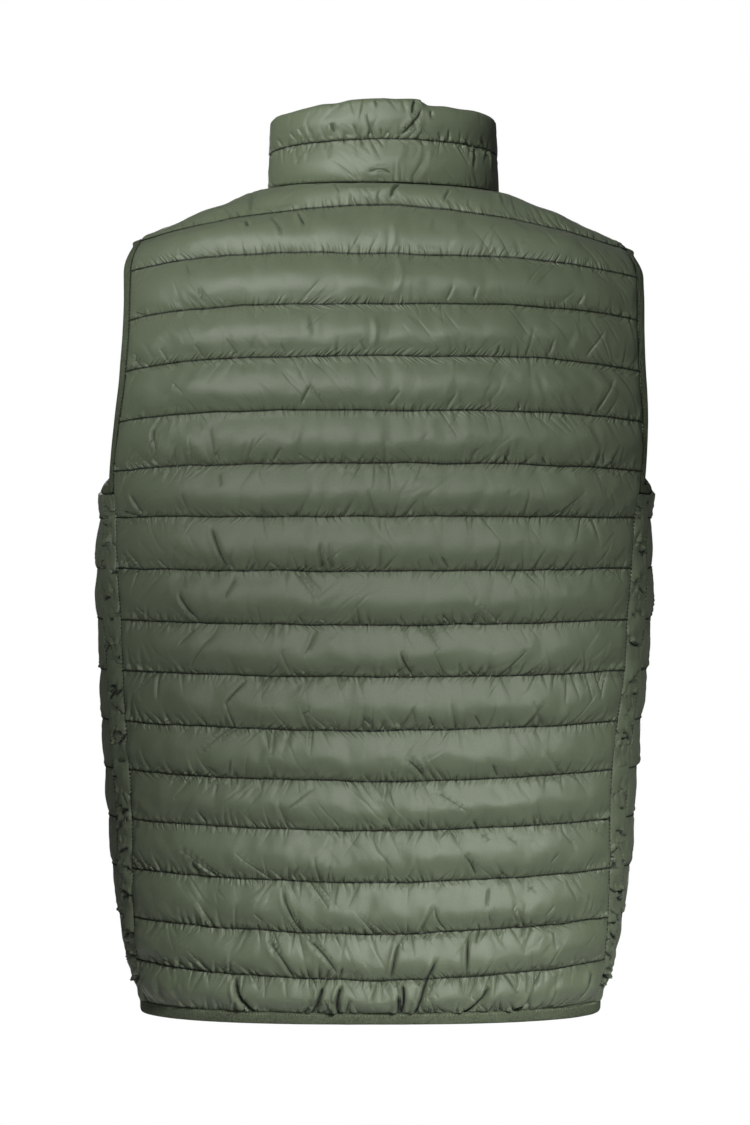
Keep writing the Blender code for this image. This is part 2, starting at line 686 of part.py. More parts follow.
def prism(bm, outline, start, stop, place):
    """A solid of an outline between start and stop; place turns (a, b, height) into a point."""
    low = [bm.verts.new(np.array(place(a, b, start)) * MM) for a, b in outline]
    high = [bm.verts.new(np.array(place(a, b, stop)) * MM) for a, b in outline]
    bm.faces.new(low)
    bm.faces.new(high)
    for i in range(len(outline)):
        j = (i + 1) % len(outline)
        bm.faces.new((low[i], low[j], high[j], high[i]))


def add_slider(metal):
    """Two plates and a core round the tape's edges, with an arch that holds the pull tab."""
    shift, middle = float(SHIFT(PIVOT_Z)), tape_middle_y()
    near, far, core = 0.9, 0.9 + SLIDER_PLATE, CHAIN_HALF - 0.4
    profile = ((-SLIDER_HALF, near), (-SLIDER_HALF, far), (SLIDER_HALF, far),
               (SLIDER_HALF, near), (core, near), (core, -near), (SLIDER_HALF, -near),
               (SLIDER_HALF, -far), (-SLIDER_HALF, -far), (-SLIDER_HALF, -near),
               (-core, -near), (-core, near))
    bm = bmesh.new()
    prism(bm, profile, SLIDER_TOP_Z - SLIDER_LENGTH, SLIDER_TOP_Z,
          lambda x, out, z: (x + shift, middle - out, z))
    slider = add_object("zip_slider", bm, metal)
    low, high, post, clear, outer = -14.0, -7.0, 0.9, far + 1.4, far + 2.2
    arch = ((far - 0.5, low), (outer, low), (outer, high), (far - 0.5, high),
            (far - 0.5, high - post), (clear, high - post), (clear, low + post),
            (far - 0.5, low + post))
    bm = bmesh.new()
    prism(bm, arch, -0.8, 0.8, lambda out, z, x: (x + shift, middle - out, z))
    guide = add_object("slider_arch_guide", bm, metal)
    guide.hide_render = True
    guide.display_type = "WIRE"
    union = slider.modifiers.new("arch", "BOOLEAN")
    union.operation = "UNION"
    union.object = guide


def add_tab(metal):
    """The pull: a bar through the slider's arch, two sides and a tongue, hanging down."""
    # (distance below the pivot, half width outside, half width inside or 0 where solid)
    rows = ((-0.4, 2.5, 1.3), (0.4, 2.5, 1.3), (5.8, 2.6, 1.3), (8.0, 3.0, 1.3),
            (21.5, 3.5, 1.3), (TAB_LENGTH, 2.4, 1.3))
    bm = bmesh.new()
    grid = [[bm.verts.new((x * MM, 0.0, -below * MM)) for x in (-wide, -inside, inside, wide)]
            for below, wide, inside in rows]
    for i, (upper, lower) in enumerate(zip(grid, grid[1:])):
        for k in range(3):
            if not (i == 1 and k == 1):
                bm.faces.new((upper[k], upper[k + 1], lower[k + 1], lower[k]))
    thick = 0.8 * MM
    made = bmesh.ops.extrude_face_region(bm, geom=bm.faces[:])
    bmesh.ops.translate(bm, verts=[v for v in made["geom"] if isinstance(v, bmesh.types.BMVert)],
                        vec=(0.0, -thick, 0.0))
    bmesh.ops.translate(bm, verts=bm.verts, vec=(0.0, thick / 2, 0.0))
    tab = add_object("zip_tab", bm, metal)
    tab.location = np.array([float(SHIFT(PIVOT_Z)), tape_middle_y() - PIVOT_OUT, PIVOT_Z]) * MM


def add_zip(tape, metal):
    full, to_slider = 1.0, (SLIDER_TOP_Z - SLIDER_LENGTH - SEAM_GAP)
    base, top = collar_row(0.0, [COLLAR_END])[0], collar_row(1.0, [COLLAR_END])[0]
    to_slider = (to_slider - base[2]) / (top[2] - base[2])
    inner, outer = CHAIN_HALF + SEAM_GAP, ZIP_OPENING - SEAM_GAP
    middle = WALL / 2
    tape_out = (-middle - TAPE_THICK / 2, -middle + TAPE_THICK / 2)
    chain_out = (-middle - CHAIN_THICK / 2, -middle + CHAIN_THICK / 2)
    zip_strip("zip_tape_left", tape, zip_path(full), inner, outer, *tape_out)
    zip_strip("zip_tape_right", tape, zip_path(full), -outer, -inner, *tape_out)
    zip_strip("zip_chain", metal, zip_path(to_slider), -CHAIN_HALF, CHAIN_HALF, *chain_out)
    add_slider(metal)
    add_tab(metal)


# ---------------------------------------------------------------- the whole vest

def make_material(name, colour, roughness, metallic=0.0):
    material = bpy.data.materials.new(name)
    material.use_nodes = True
    shader = material.node_tree.nodes["Principled BSDF"]
    shader.inputs["Base Color"].default_value = colour
    shader.inputs["Roughness"].default_value = roughness
    shader.inputs["Metallic"].default_value = metallic
    material.diffuse_color = colour
    return material


def main():
    for thing in list(bpy.data.objects):
        bpy.data.objects.remove(thing, do_unlink=True)
    cloth = make_material("quilted_nylon", CLOTH_GREEN, 0.5)
    trim = make_material("elastic_binding", TRIM_GREEN, 0.75)
    metal = make_material("zip_metal", METAL_GREY, 0.4, 0.8)
    add_back(cloth)
    for name, side in (("left", 1), ("right", -1)):
        add_front("front_" + name, cloth, side)
        add_side("side_" + name, cloth, side)
        add_armhole_binding("armhole_binding_" + name, trim, side)
    add_collar(cloth)
    add_hem_binding(trim)
    add_zip(trim, metal)


main()
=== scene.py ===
"""Quilted vest with a stand collar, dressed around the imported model.

Metres outside, millimetres in the form functions. +Z is up, the front faces -Y and +X is the
wearer's left. Panels are laid out by quilt lines: line 0 is the shoulder seam and neckline, lines
1 to 16 are sewn across the body and line 17 is the top of the hem binding. Across a panel, places
are fractions of the arc length of the row.
"""
import functools
import math
from collections import namedtuple

import bmesh
import bpy
import numpy as np
from mathutils import Matrix, Vector


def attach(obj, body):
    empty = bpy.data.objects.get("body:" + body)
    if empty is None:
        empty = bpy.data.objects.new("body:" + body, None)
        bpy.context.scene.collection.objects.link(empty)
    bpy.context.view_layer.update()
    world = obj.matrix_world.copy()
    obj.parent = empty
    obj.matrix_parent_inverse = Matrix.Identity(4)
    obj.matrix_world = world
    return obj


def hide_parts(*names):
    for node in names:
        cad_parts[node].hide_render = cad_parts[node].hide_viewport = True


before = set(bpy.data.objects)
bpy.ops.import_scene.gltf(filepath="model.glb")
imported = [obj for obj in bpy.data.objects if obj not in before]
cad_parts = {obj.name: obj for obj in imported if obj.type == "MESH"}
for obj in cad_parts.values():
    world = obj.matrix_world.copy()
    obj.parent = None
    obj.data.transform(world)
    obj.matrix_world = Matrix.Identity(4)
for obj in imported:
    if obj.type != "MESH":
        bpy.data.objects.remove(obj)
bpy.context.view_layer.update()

MM = 0.001
CAMERA_Y = 3.135
CAMERA_Z = -0.3218
LENS = 117.07
SEAM_GAP = 0.3
WALL = 2.4
SECTION_POWER = 2.4
LAST_LINE = 17.0
UNDERARM_LINE = 6.5

NECK_HALF_WIDTH = 98.4
NECK_HALF_DEPTH = 75.0
NECK_CENTRE_Y = -13.0
NECK_BACK_Z = -3.0
NECK_POINT_ANGLE = math.radians(80.0)
NECK_POINT_Z = -3.5
SHOULDER_TIP = (206.0, 14.0, -50.0)
FRONT_FIRST_LINE = 0.012
NECK_FRONT_LINE = 2.25
NECK_ROUND = 5.0
COLLAR_END = 2.0
COLLAR_STITCH = 0.53
COLLAR_CLOSES = 1.12           # its upper channel would close here, so it is still full on top
COLLAR_GAP = 0.4
COLLAR_LEAN = 6.0
COLLAR_LEAN_REACH = 62.0
COLLAR_TAPER = 2.0
HEM_BINDING_Z = -704.0
ZIP_OPENING = 10.0

BACK_COLUMNS = ("line", "z_centre", "depth", "half_width", "roundness", "z_edge", "bow")
BACK_LINES = (
    (1, -23.5, 78.0, 206.0, 0.9700, -53.0, 1.8),
    (2, -66.3, 105.0, 212.6, 0.9010, -79.5, 3.5),
    (3, -108.9, 122.0, 212.6, 0.8850, -119.0, 4.0),
    (4, -152.3, 131.0, 214.3, 0.8770, -162.0, 4.0),
    (5, -196.8, 135.0, 218.5, 0.9050, -204.0, 4.0),
    (6, -240.3, 135.5, 221.0, 0.9325, -245.2, 3.0),
    (7, -283.7, 134.5, 217.0, 0.9235, -284.0, 2.0),
    (8, -328.8, 133.0, 215.0, 0.9090, -326.4, 2.0),
    (9, -373.0, 130.5, 211.5, 0.8980, -369.5, 2.0),
    (10, -415.7, 128.0, 209.7, 0.9020, -412.0, 2.0),
    (11, -460.0, 126.0, 205.5, 0.8950, -454.3, 2.0),
    (12, -501.8, 124.0, 201.7, 0.8905, -495.0, 1.8),
    (13, -542.9, 123.0, 199.8, 0.8940, -536.5, 1.6),
    (14, -585.8, 122.5, 199.6, 0.9050, -578.0, 1.4),
    (15, -628.0, 121.0, 198.8, 0.9270, -619.6, 1.4),
    (16, -666.2, 118.5, 196.7, 0.9480, -656.0, 1.6),
    (17, -694.7, 111.0, 189.5, 0.9700, -693.0, 1.6),
)
SIDE_COLUMNS = ("line", "side_y")
SIDE_LINES = ((6.5, 41.0), (8, 42.5), (10, 44.0), (12, 46.0), (13, 45.5), (14, 42.0),
              (15, 34.0), (16, 22.0), (17, 9.0))
FRONT_COLUMNS = ("line", "z_inner", "z_outer", "depth", "half_width", "inner_x", "edge_y")
FRONT_LINES = (
    (1, -30.0, -58.0, 52.6, 209.0, 86.0, -12.9),
    (2, -64.0, -84.0, 82.0, 210.0, 44.0, -33.0),
    (2.25, -76.0, -93.0, 88.0, 210.5, 10.0, -37.0),
    (3, -108.0, -121.0, 103.0, 212.0, 10.0, -46.0),
    (4, -151.5, -163.0, 117.0, 215.0, 10.0, -53.0),
    (5, -195.0, -205.0, 126.0, 221.0, 10.0, -52.0),
    (6, -238.5, -246.0, 130.0, 229.0, 10.0, -36.0),
    (6.18, -246.0, -253.3, 130.5, 231.5, 10.0, -22.0),
    (6.34, -253.0, -259.4, 130.8, 233.8, 10.0, 0.0),
    (6.5, -260.0, -265.0, 131.0, 236.0, 10.0, 41.0),
    (7, -281.0, -284.0, 131.5, 235.6, 10.0, 41.5),
    (8, -324.0, -326.4, 131.0, 236.5, 10.0, 42.5),
    (10, -410.0, -412.0, 127.0, 232.5, 10.0, 44.0),
    (12, -494.0, -495.0, 123.0, 226.5, 10.0, 46.0),
    (14, -577.0, -578.0, 120.0, 220.5, 10.0, 42.0),
    (15, -618.5, -619.6, 118.0, 214.5, 10.0, 34.0),
    (16, -655.0, -656.0, 115.0, 207.5, 10.0, 22.0),
    (17, -692.5, -693.0, 109.0, 195.4, 10.0, 9.0),
)
COLLAR_COLUMNS = ("angle", "top_z")
COLLAR_TOP = ((0, 68.5), (15, 67.5), (30, 65.0), (60, 60.0), (75, 57.5), (90, 52.0), (120, 34.0),
              (150, 12.0), (180, -4.0))
SWAY_COLUMNS = ("z", "shift")
SWAY = ((-710, 4.0), (-566, 3.2), (-484, 3.6), (-443, 2.4), (-402, 1.0), (-320, 0.6),
        (-268, -1.0), (-217, -4.2), (-166, -6.5), (-80, -7.5), (-40, -7.0), (80, -7.0))
TILT_COLUMNS = ("z", "rise")
TILT = ((-720, 0.0), (-115, 0.0), (-60, 0.018), (0, 0.018), (45, 0.0), (80, 0.0))

# how the channels are filled
BACK_PUFF = 8.8
FRONT_PUFF = 8.0
SIDE_PUFF = 3.0
COLLAR_PUFF = 5.6
THIN_SHARE = 0.6
FRONT_THIN_SHARE = 0.8
BODY_THINS = (140.0, 220.0)
COLLAR_THINS = (60.0, 100.0)
FILL_POWER = 0.78              # lower is fuller, with a tighter groove at the quilt line
SAG = 1.22                     # channels are fullest a little below their middle
COLLAR_SAG = 0.66              # the same for the collar, whose shares run upwards
UNEVEN_SAG = 0.10
UNEVEN_FILL = 0.10
LUMPS = 0.075
GUSSET_FILL = 0.6              # its quilt lines aren't sewn right down
SIDE_FADE = 9.0
STRAY = 0.55
ROWS_PER_CHANNEL = 17
CROWDING = 0.65                # how much closer rows lie together at the quilt lines
COLUMN_STEP = 1.58
TOP_ROUND = 0.07               # share of the collar's height that rolls over at its top edge

# the folds beside the quilt lines
PUCKER_SPACING = 6.4
PUCKER_DEPTH = 3.2
# PUCKER_SLIT sets how dark the painted shadow at a pucker's bottom gets
PUCKER_SLIT = 0.5
PUCKER_LEAN = 0.9              # they lean towards the side seams
PUCKER_WIDTHS = (0.9, 1.9)
PUCKER_LENGTHS = (2.4, 5.2)
PUCKER_EXTRA = 12.0            # a few are up to this much longer
PUCKER_HEIGHTS = (0.4, 1.0)
PUCKER_SLANTS = (-0.85, 0.85)
PUCKER_CALM = (0.32, 0.68, 0.35)   # strength at the top, what lines 4 to 8 and the hem add
COLLAR_CALM = (0.35, 0.9)      # strength at the collar's edges and at its stitch line
UNDER_SHARE = 0.6              # height of those below a line
SEAM_REACH = 30.0              # they are higher this near the ends of a line
SEAM_GAIN = 0.6
WAVE_DEPTH = 0.72
WAVE_LEAN = 1.05
WAVE_MARGIN = 60.0             # keeps places along a leaning wave above zero
WAVES_ON_COLLAR = 0.2
WAVES_ON_CHEST = (0.4, 0.6)    # strength at the top, what lines 1 to 5 add
LONG_CREASE_DEPTH = 0.75
KINK_WIDTH = 0.32
PUCKER_RIDGE = (0.7, 1.9, 1.4)     # height, place and width of the ridge beside a fold
CREASE_RIDGE = (0.55, 1.8, 1.3)

# creases
CREASE_WIDENS = 0.95
CREASE_DEEPENS = 0.95
CREASE_START = (-0.03, 0.22)   # shares of its length over which a crease comes and goes
CREASE_END = (0.78, 1.03)
HEM_GAIN = 1.6                 # grooves are this much deeper at the hem
HEM_RUN_ON = 6.0               # folds fade this far into the binding
SOFT_WIDTH = 2.0
SOFT_ON_COLLAR = 0.5           # share of a wider crease's groove that is kept on the collar
SLIT_REACH = 3.6               # points this near a crease know how far to its side they are
SLIT_FULL = 3.4                # a crease this deep has a black bottom of painted shadow
SLIT_LEAST = 1.0               # and one no deeper than this has none
LEAST_SHARE = 0.12             # creases press no deeper than this share of the filling

# how the cloth is blown up
BLOWN_START = 0.75             # share of the height that it starts from
BLOWN_STEP = 2.6
BLOWN_ROWS = 16
BLOWN_FRAMES = 13
CLOTH_SETTINGS = {
    "quality": 5, "mass": 0.1, "tension_stiffness": 15.0, "compression_stiffness": 5.0,
    "shear_stiffness": 2.0, "bending_stiffness": 2.0,
    "shrink_min": -0.04,       # the cloth is this much longer than its sewn lines
    "use_pressure": True, "uniform_pressure_force": 2.5}
LEAST_START = 0.35
BLOWN_LIMITS = (-0.3, 2.4)     # of the blown height as a share of the height at the start
SWELL_SHARE = 0.9              # how much of its broad swelling is kept at the hem
CHEST_SWELL_SHARE = 0.5        # the part of that which is kept above line 7
FRONT_SWELL_SHARE = 0.3
FOLD_SHARE = 0.15              # how much of its small folds is kept
COLLAR_FOLD_SHARE = 0.15       # the part of that which is kept on the collar
FOLD_WIDTH = 34.0


# ---------------------------------------------------------------- curves and tables

def smooth_curve(places, values):
    """A curve through the points that never swings past them, as a function."""
    x = np.asarray(places, float)
    y = np.asarray(values, float)
    step = np.diff(x)
    slope = np.diff(y) / step
    tangent = np.zeros_like(y)
    tangent[0], tangent[-1] = slope[0], slope[-1]
    same = slope[:-1] * slope[1:] > 0
    before = 2 * step[1:] + step[:-1]
    after = step[1:] + 2 * step[:-1]
    mean = np.zeros_like(slope[:-1])
    mean[same] = (before + after)[same] / (before / np.where(same, slope[:-1], 1.0)
                                           + after / np.where(same, slope[1:], 1.0))[same]
    tangent[1:-1] = mean

    def at(place):
        place = np.clip(place, x[0], x[-1])
        i = np.clip(np.searchsorted(x, place, side="right") - 1, 0, len(x) - 2)
        t = (place - x[i]) / step[i]
        return (y[i] * (1 + 2 * t) * (1 - t) ** 2 + y[i + 1] * t * t * (3 - 2 * t)
                + step[i] * t * (1 - t) * (tangent[i] * (1 - t) - tangent[i + 1] * t))

    return at


def table(columns, rows):
    """One smooth curve for each named column, read by the first column."""
    data = np.array(rows, float)
    return {name: smooth_curve(data[:, 0], data[:, i])
            for i, name in enumerate(columns) if i}


BACK = table(BACK_COLUMNS, BACK_LINES)
SIDE = table(SIDE_COLUMNS, SIDE_LINES)
FRONT = table(FRONT_COLUMNS, FRONT_LINES)
COLLAR = table(COLLAR_COLUMNS, COLLAR_TOP)
SHIFT = table(SWAY_COLUMNS, SWAY)["shift"]
RISE = table(TILT_COLUMNS, TILT)["rise"]


def lengths_along(points):
    """The distance of each point along a polyline."""
    return np.append(0.0, np.cumsum(np.linalg.norm(np.diff(points, axis=0), axis=1)))


def along(points, fractions):
    """The points that lie at these fractions of a polyline's length."""
    lengths = lengths_along(points)
    places = np.clip(fractions, 0.0, 1.0) * lengths[-1]
    return np.stack([np.interp(places, lengths, points[:, k]) for k in range(3)], axis=1)


def row_lengths(base):
    """The distance of each point of a (rows, columns, 3) array along its row."""
    steps = np.linalg.norm(np.diff(base, axis=1), axis=2)
    return np.append(np.zeros((len(base), 1)), np.cumsum(steps, axis=1), axis=1)


def ease(value, start, stop):
    t = np.clip((np.asarray(value, float) - start) / (stop - start), 0.0, 1.0)
    return t * t * (3 - 2 * t)


def side_factor(side):
    """Mirrors points of the left half when the side is -1."""
    return np.array([side, 1.0, 1.0])


def settle(points):
    """Shift and tilt finished points so that the vest hangs a little askew."""
    points = np.array(points, float)
    points[..., 2] += RISE(points[..., 2]) * np.clip(points[..., 0], -SHOULDER_TIP[0],
                                                     SHOULDER_TIP[0])
    points[..., 0] += SHIFT(points[..., 2])
    return points


# ---------------------------------------------------------------- the body's rows

def angle_at_x(x, width):
    return math.asin(min(1.0, x / width) ** (SECTION_POWER / 2))


def angle_at_y(y, depth):
    return math.acos(min(1.0, y / depth) ** (SECTION_POWER / 2))


def section(width, depth, start, stop, count=240):
    """A stretch of one rounded quarter of the cross-section, from angle start to stop."""
    angle = np.linspace(start, stop, count)
    return np.stack([width * np.sin(angle) ** (2 / SECTION_POWER),
                     depth * np.abs(np.cos(angle)) ** (2 / SECTION_POWER)], axis=1)


def neck_point(angle):
    return np.array([NECK_HALF_WIDTH * np.sin(angle),
                     NECK_CENTRE_Y + NECK_HALF_DEPTH * np.cos(angle),
                     NECK_BACK_Z + (NECK_POINT_Z - NECK_BACK_Z) * angle / NECK_POINT_ANGLE])


def back_neck_curve():
    return np.array([neck_point(a) for a in np.linspace(0.0, NECK_POINT_ANGLE, 120)])


def shoulder_seam():
    return np.linspace(neck_point(NECK_POINT_ANGLE), SHOULDER_TIP, 60)


def top_edge_of_back():
    return np.concatenate([back_neck_curve(), shoulder_seam()[1:]])


def line_length(points):
    return float(np.linalg.norm(np.diff(points, axis=0), axis=1).sum())


NECK_SHARE = line_length(back_neck_curve()) / line_length(top_edge_of_back())


def back_line(line):
    """Half of a back row at line 1 or below, from centre back to its edge."""
    edge = float(BACK["half_width"](line))
    roundness = float(BACK["roundness"](line))
    flat = section(edge / roundness, float(BACK["depth"](line)), 0.0,
                   angle_at_x(roundness, 1.0))
    low, high = float(BACK["z_centre"](line)), float(BACK["z_edge"](line))
    z = low + (high - low) * (flat[:, 0] / edge) ** float(BACK["bow"](line))
    return np.column_stack([flat, z])


def back_row(line, across):
    """Points of the back at this line; across runs from -1, the right edge, to 1, the left."""
    across = np.asarray(across, float)
    share = np.abs(across)
    if line >= 1:
        points = along(back_line(line), share)
    else:
        top = along(top_edge_of_back(), share)
        points = top + (along(back_line(1.0), share) - top) * line
    points[:, 0] *= np.where(across < 0, -1.0, 1.0)
    return points


def body_half_width(line):
    return float(BACK["half_width"](line) / BACK["roundness"](line))


def side_row(line, across):
    """Points of the left gusset; across runs from 0, the back seam, to 1, the front seam."""
    depth = float(BACK["depth"](line))
    flat = section(body_half_width(line), depth, angle_at_x(float(BACK["roundness"](line)), 1.0),
                   angle_at_y(float(SIDE["side_y"](line)), depth))
    points = np.column_stack([flat, np.full(len(flat), float(BACK["z_edge"](line)))])
    trim = SEAM_GAP / line_length(points)
    return along(points, trim + (1 - 2 * trim) * np.asarray(across, float))


def front_line(line):
    """A left front row at line 1 or below, from its inner edge to its outer edge."""
    below_arm = line >= UNDERARM_LINE
    width = body_half_width(line) if below_arm else float(FRONT["half_width"](line))
    depth = float(FRONT["depth"](line))
    edge_y = float(SIDE["side_y"](line) if below_arm else FRONT["edge_y"](line))
    start = angle_at_x(float(FRONT["inner_x"](line)), width)
    if edge_y < 0:
        flat = section(width, depth, start, angle_at_y(-edge_y, depth))
        flat[:, 1] *= -1
    else:
        flat = section(width, depth, start, math.pi / 2)
        flat[:, 1] *= -1
        back_depth = float(BACK["depth"](line))
        wrapped = section(width, back_depth, math.pi / 2, angle_at_y(edge_y, back_depth))
        flat = np.concatenate([flat, wrapped[1:]])
    outer = float(BACK["z_edge"](line) if below_arm else FRONT["z_outer"](line))
    inner = float(FRONT["z_inner"](line))
    steps = lengths_along(flat)
    return np.column_stack([flat, inner + (outer - inner) * (steps / steps[-1]) ** 2])


def front_row(line, across):
    """Points of the left front; across runs from 0, the neckline or zip, to 1, the outer edge."""
    across = np.asarray(across, float)
    if line >= 1:
        return along(front_line(line), across)
    top = along(shoulder_seam(), across)
    points = top + (along(front_line(1.0), across) - top) * line
    points[:, 0] += NECK_ROUND * math.sin(math.pi * line) * (1 - across) ** 2
    return points


@functools.lru_cache(maxsize=None)
def neckline(place):
    """The left half of the neckline: 0 centre back, 1 the shoulder seam, 2 the zip."""
    if place <= 1:
        return along(back_neck_curve(), [place])[0]
    return front_row((place - 1) * NECK_FRONT_LINE, [0.0])[0]


def collar_row(height, places):
    """Points of the collar; height 0 is its base, 1 its top; places run -2 to 2 as in neckline."""
    points = []
    for place in places:
        base = neckline(abs(place))
        angle = math.degrees(math.acos(np.clip((base[1] - NECK_CENTRE_Y) / NECK_HALF_DEPTH,
                                               -1.0, 1.0)))
        top = np.array([base[0] - COLLAR_TAPER * (base[0] / NECK_HALF_WIDTH) ** 3,
                        base[1] - COLLAR_LEAN * max(0.0, base[1]) / COLLAR_LEAN_REACH,
                        float(COLLAR["top_z"](angle))])
        base = base + np.array([0.0, 0.0, COLLAR_GAP])
        point = base + (top - base) * height
        point[0] *= -1 if place < 0 else 1
        points.append(point)
    return np.array(points)


# row: function of (line, across); first and last: its lines; ends: its places across;
# line_step: a small step of line; facing: turns the normals outwards; puff: height of a
# channel; thins: where it thins sideways; phase: how far the channels are shifted
Panel = namedtuple("Panel", "row first last ends line_step facing puff thins phase")

BACK_PANEL = Panel(back_row, 0.0, LAST_LINE, (-1.0, 1.0), 0.02, 1, BACK_PUFF, BODY_THINS, 0.0)
FRONT_PANEL = Panel(front_row, FRONT_FIRST_LINE, LAST_LINE, (0.0, 1.0), 0.02, -1, FRONT_PUFF,
                    BODY_THINS, 0.0)
SIDE_PANEL = Panel(side_row, UNDERARM_LINE, LAST_LINE, (0.0, 1.0), 0.02, 1, SIDE_PUFF, None, 0.5)
COLLAR_PANEL = Panel(collar_row, 0.0, 1.0, (-COLLAR_END, COLLAR_END), 0.002, -1, COLLAR_PUFF,
                     COLLAR_THINS, 0.0)


def seam_normal(side):
    """The direction that both panels' edges share along the shoulder seam of one side."""
    run = np.array(SHOULDER_TIP) - neck_point(NECK_POINT_ANGLE)
    normal = np.array([-run[2], 0.0, run[0]]) / math.hypot(run[0], run[2])
    return normal * side_factor(side)


def body_normals(panel, line, points):
    """Normals of the rounded cross-section, which swells and narrows from line to line."""
    def sizes(at_line):
        below_arm = at_line >= UNDERARM_LINE or panel is not FRONT_PANEL
        width = body_half_width(at_line) if below_arm else float(FRONT["half_width"](at_line))
        return np.array([width, float(BACK["depth"](at_line)), float(FRONT["depth"](at_line)),
                         float(BACK["z_edge"](at_line))])

    upper, lower = sizes(max(line - 0.1, 1.0)), sizes(min(line + 0.1, LAST_LINE))
    grow = (lower - upper)[:3] / (lower - upper)[3]
    width, back_depth, front_depth = sizes(line)[:3]
    x, y = points[:, 0], points[:, 1]
    depth = np.where(y > 0, back_depth, front_depth)
    depth_grow = np.where(y > 0, grow[1], grow[2])
    along_x, along_y = (np.abs(x) / width) ** SECTION_POWER, (np.abs(y) / depth) ** SECTION_POWER
    normals = np.column_stack([
        np.sign(x) * along_x / np.maximum(np.abs(x), 1e-6),
        np.sign(y) * along_y / np.maximum(np.abs(y), 1e-6),
        -along_x * grow[0] / width - along_y * depth_grow / depth])
    return normals / np.linalg.norm(normals, axis=1)[:, None]


def normals_along(panel, line, across):
    """Outward unit normals of a panel at places along one row."""
    if panel is not COLLAR_PANEL and line >= 1.0:
        return body_normals(panel, line, panel.row(line, across))
    low, high = panel.ends
    down = (panel.row(min(line + panel.line_step, panel.last), across)
            - panel.row(max(line - panel.line_step, panel.first), across))
    out = (panel.row(line, np.minimum(across + 0.01, high))
           - panel.row(line, np.maximum(across - 0.01, low)))
    normals = np.cross(out, down) * panel.facing
    if panel is COLLAR_PANEL:
        normals[np.abs(across) > COLLAR_END - 1e-9, 0] = 0.0
    normals /= np.linalg.norm(normals, axis=1)[:, None]
    if line == panel.first and panel is FRONT_PANEL:
        normals[:] = seam_normal(1)
    elif line == panel.first and panel is BACK_PANEL:
        for side in (-1, 1):
            normals[side * across > NECK_SHARE - 1e-9] = seam_normal(side)
    return normals


# ---------------------------------------------------------------- cloth laid out in rows

# lines: of the rows; places: of the columns; base and normals: (rows, columns, 3);
# u: distance along each row from its first place; pitch: millimetres from line to line
Cloth = namedtuple("Cloth", "panel lines places base normals u pitch")


def channel_shares(count):
    """Shares of a channel's height, closer together at its two quilt lines."""
    even = even_shares(count)
    return (1 - CROWDING) * even + CROWDING * (1 - np.cos(np.pi * even)) / 2


def even_shares(count):
    return np.arange(count) / count


def panel_lines(panel, shares):
    """The lines of a panel's rows, at these shares of each channel."""
    if panel is COLLAR_PANEL:
        lower = COLLAR_STITCH * shares
        upper = COLLAR_STITCH + (1 - COLLAR_STITCH) * shares
        return np.concatenate([lower, upper, [1.0]])
    start = math.floor(panel.first - panel.phase)
    lines = [whole + panel.phase + share for whole in range(start, int(LAST_LINE) + 1)
             for share in shares]
    lines = [line for line in lines if panel.first + 0.01 < line < panel.last - 0.01]
    return np.array([panel.first, *lines, panel.last])


def wander(panel, lines, base):
    """Lets the sewn lines stray a little from a straight run."""
    u = row_lengths(base)
    if panel is COLLAR_PANEL:
        sewn = np.array([0.0, COLLAR_STITCH, 1.0])
    else:
        sewn = np.arange(0, LAST_LINE + 2) - panel.phase
    strays = []
    for k, line in enumerate(sewn):
        rng = np.random.default_rng(900 + 7 * k)
        row = u[np.argmin(np.abs(lines - line))]
        stray = (STRAY * noise_row(row, 31.0, rng) + 0.5 * STRAY * noise_row(row, 11.0, rng))
        inside = panel.first + 0.1 < line < panel.last - 0.1
        strays.append(stray * inside * ease(np.minimum(row, row[-1] - row), 0.0, 25.0))
    strays = np.array(strays)
    at = np.interp(lines, sewn, np.arange(len(sewn)))
    base[..., 2] += read_between(strays, at, 0) if len(sewn) > 3 else np.array(
        [strays[int(round(place))] * (1 - 2 * abs(place - round(place))) for place in at])
    return base


def top_edge(heights, base):
    """The collar's uneven top: a rise, then the small step of a fold right of the middle."""
    rng = np.random.default_rng(977)
    sideways = -base[..., 0]
    step = (1.3 * ease(sideways, 4, 28) * (1 - ease(sideways, 31, 34))
            - 2.2 * ease(sideways, 31, 34) * (1 - ease(sideways, 45, 88)))
    scallops = 0.8 * noise_row(base[-1, :, 0] + 130, 13.0, rng)
    behind = base[..., 1] > NECK_CENTRE_Y
    upper = ease(heights, 0.62, 1.0)[:, None]
    base[..., 2] += (step * behind + scallops) * upper
    return base


def lay_out(panel, lines, places):
    base = np.array([panel.row(line, places) for line in lines])
    if panel is COLLAR_PANEL:
        base = top_edge(lines, base)
    normals = np.array([normals_along(panel, line, places) for line in lines])
    base = wander(panel, lines, base)
    drops = np.linalg.norm(np.diff(base, axis=0), axis=2) / np.diff(lines)[:, None]
    pitch = np.concatenate([drops, drops[-1:]])
    return Cloth(panel, lines, places, base, normals, row_lengths(base), pitch)


def channel_share(cloth):
    """(number of the channel, share of the way down it) for each row."""
    if cloth.panel is COLLAR_PANEL:
        upper = cloth.lines >= COLLAR_STITCH
        share = np.where(upper, (cloth.lines - COLLAR_STITCH) / (COLLAR_CLOSES - COLLAR_STITCH),
                         cloth.lines / COLLAR_STITCH)
        return upper.astype(int), share
    shifted = cloth.lines + cloth.panel.phase
    whole = np.floor(shifted + 1e-9)
    return whole.astype(int), np.clip(shifted - whole, 0.0, 1.0)


def noise_row(u, cell, rng, low=-1.0, high=1.0):
    """Smooth random values along u, one knot every cell millimetres."""
    place = np.asarray(u) / cell
    knots = rng.uniform(low, high, int(place.max()) + 3)
    i = np.floor(place).astype(int)
    t = place - i
    t = t * t * (3 - 2 * t)
    return knots[i] * (1 - t) + knots[i + 1] * t


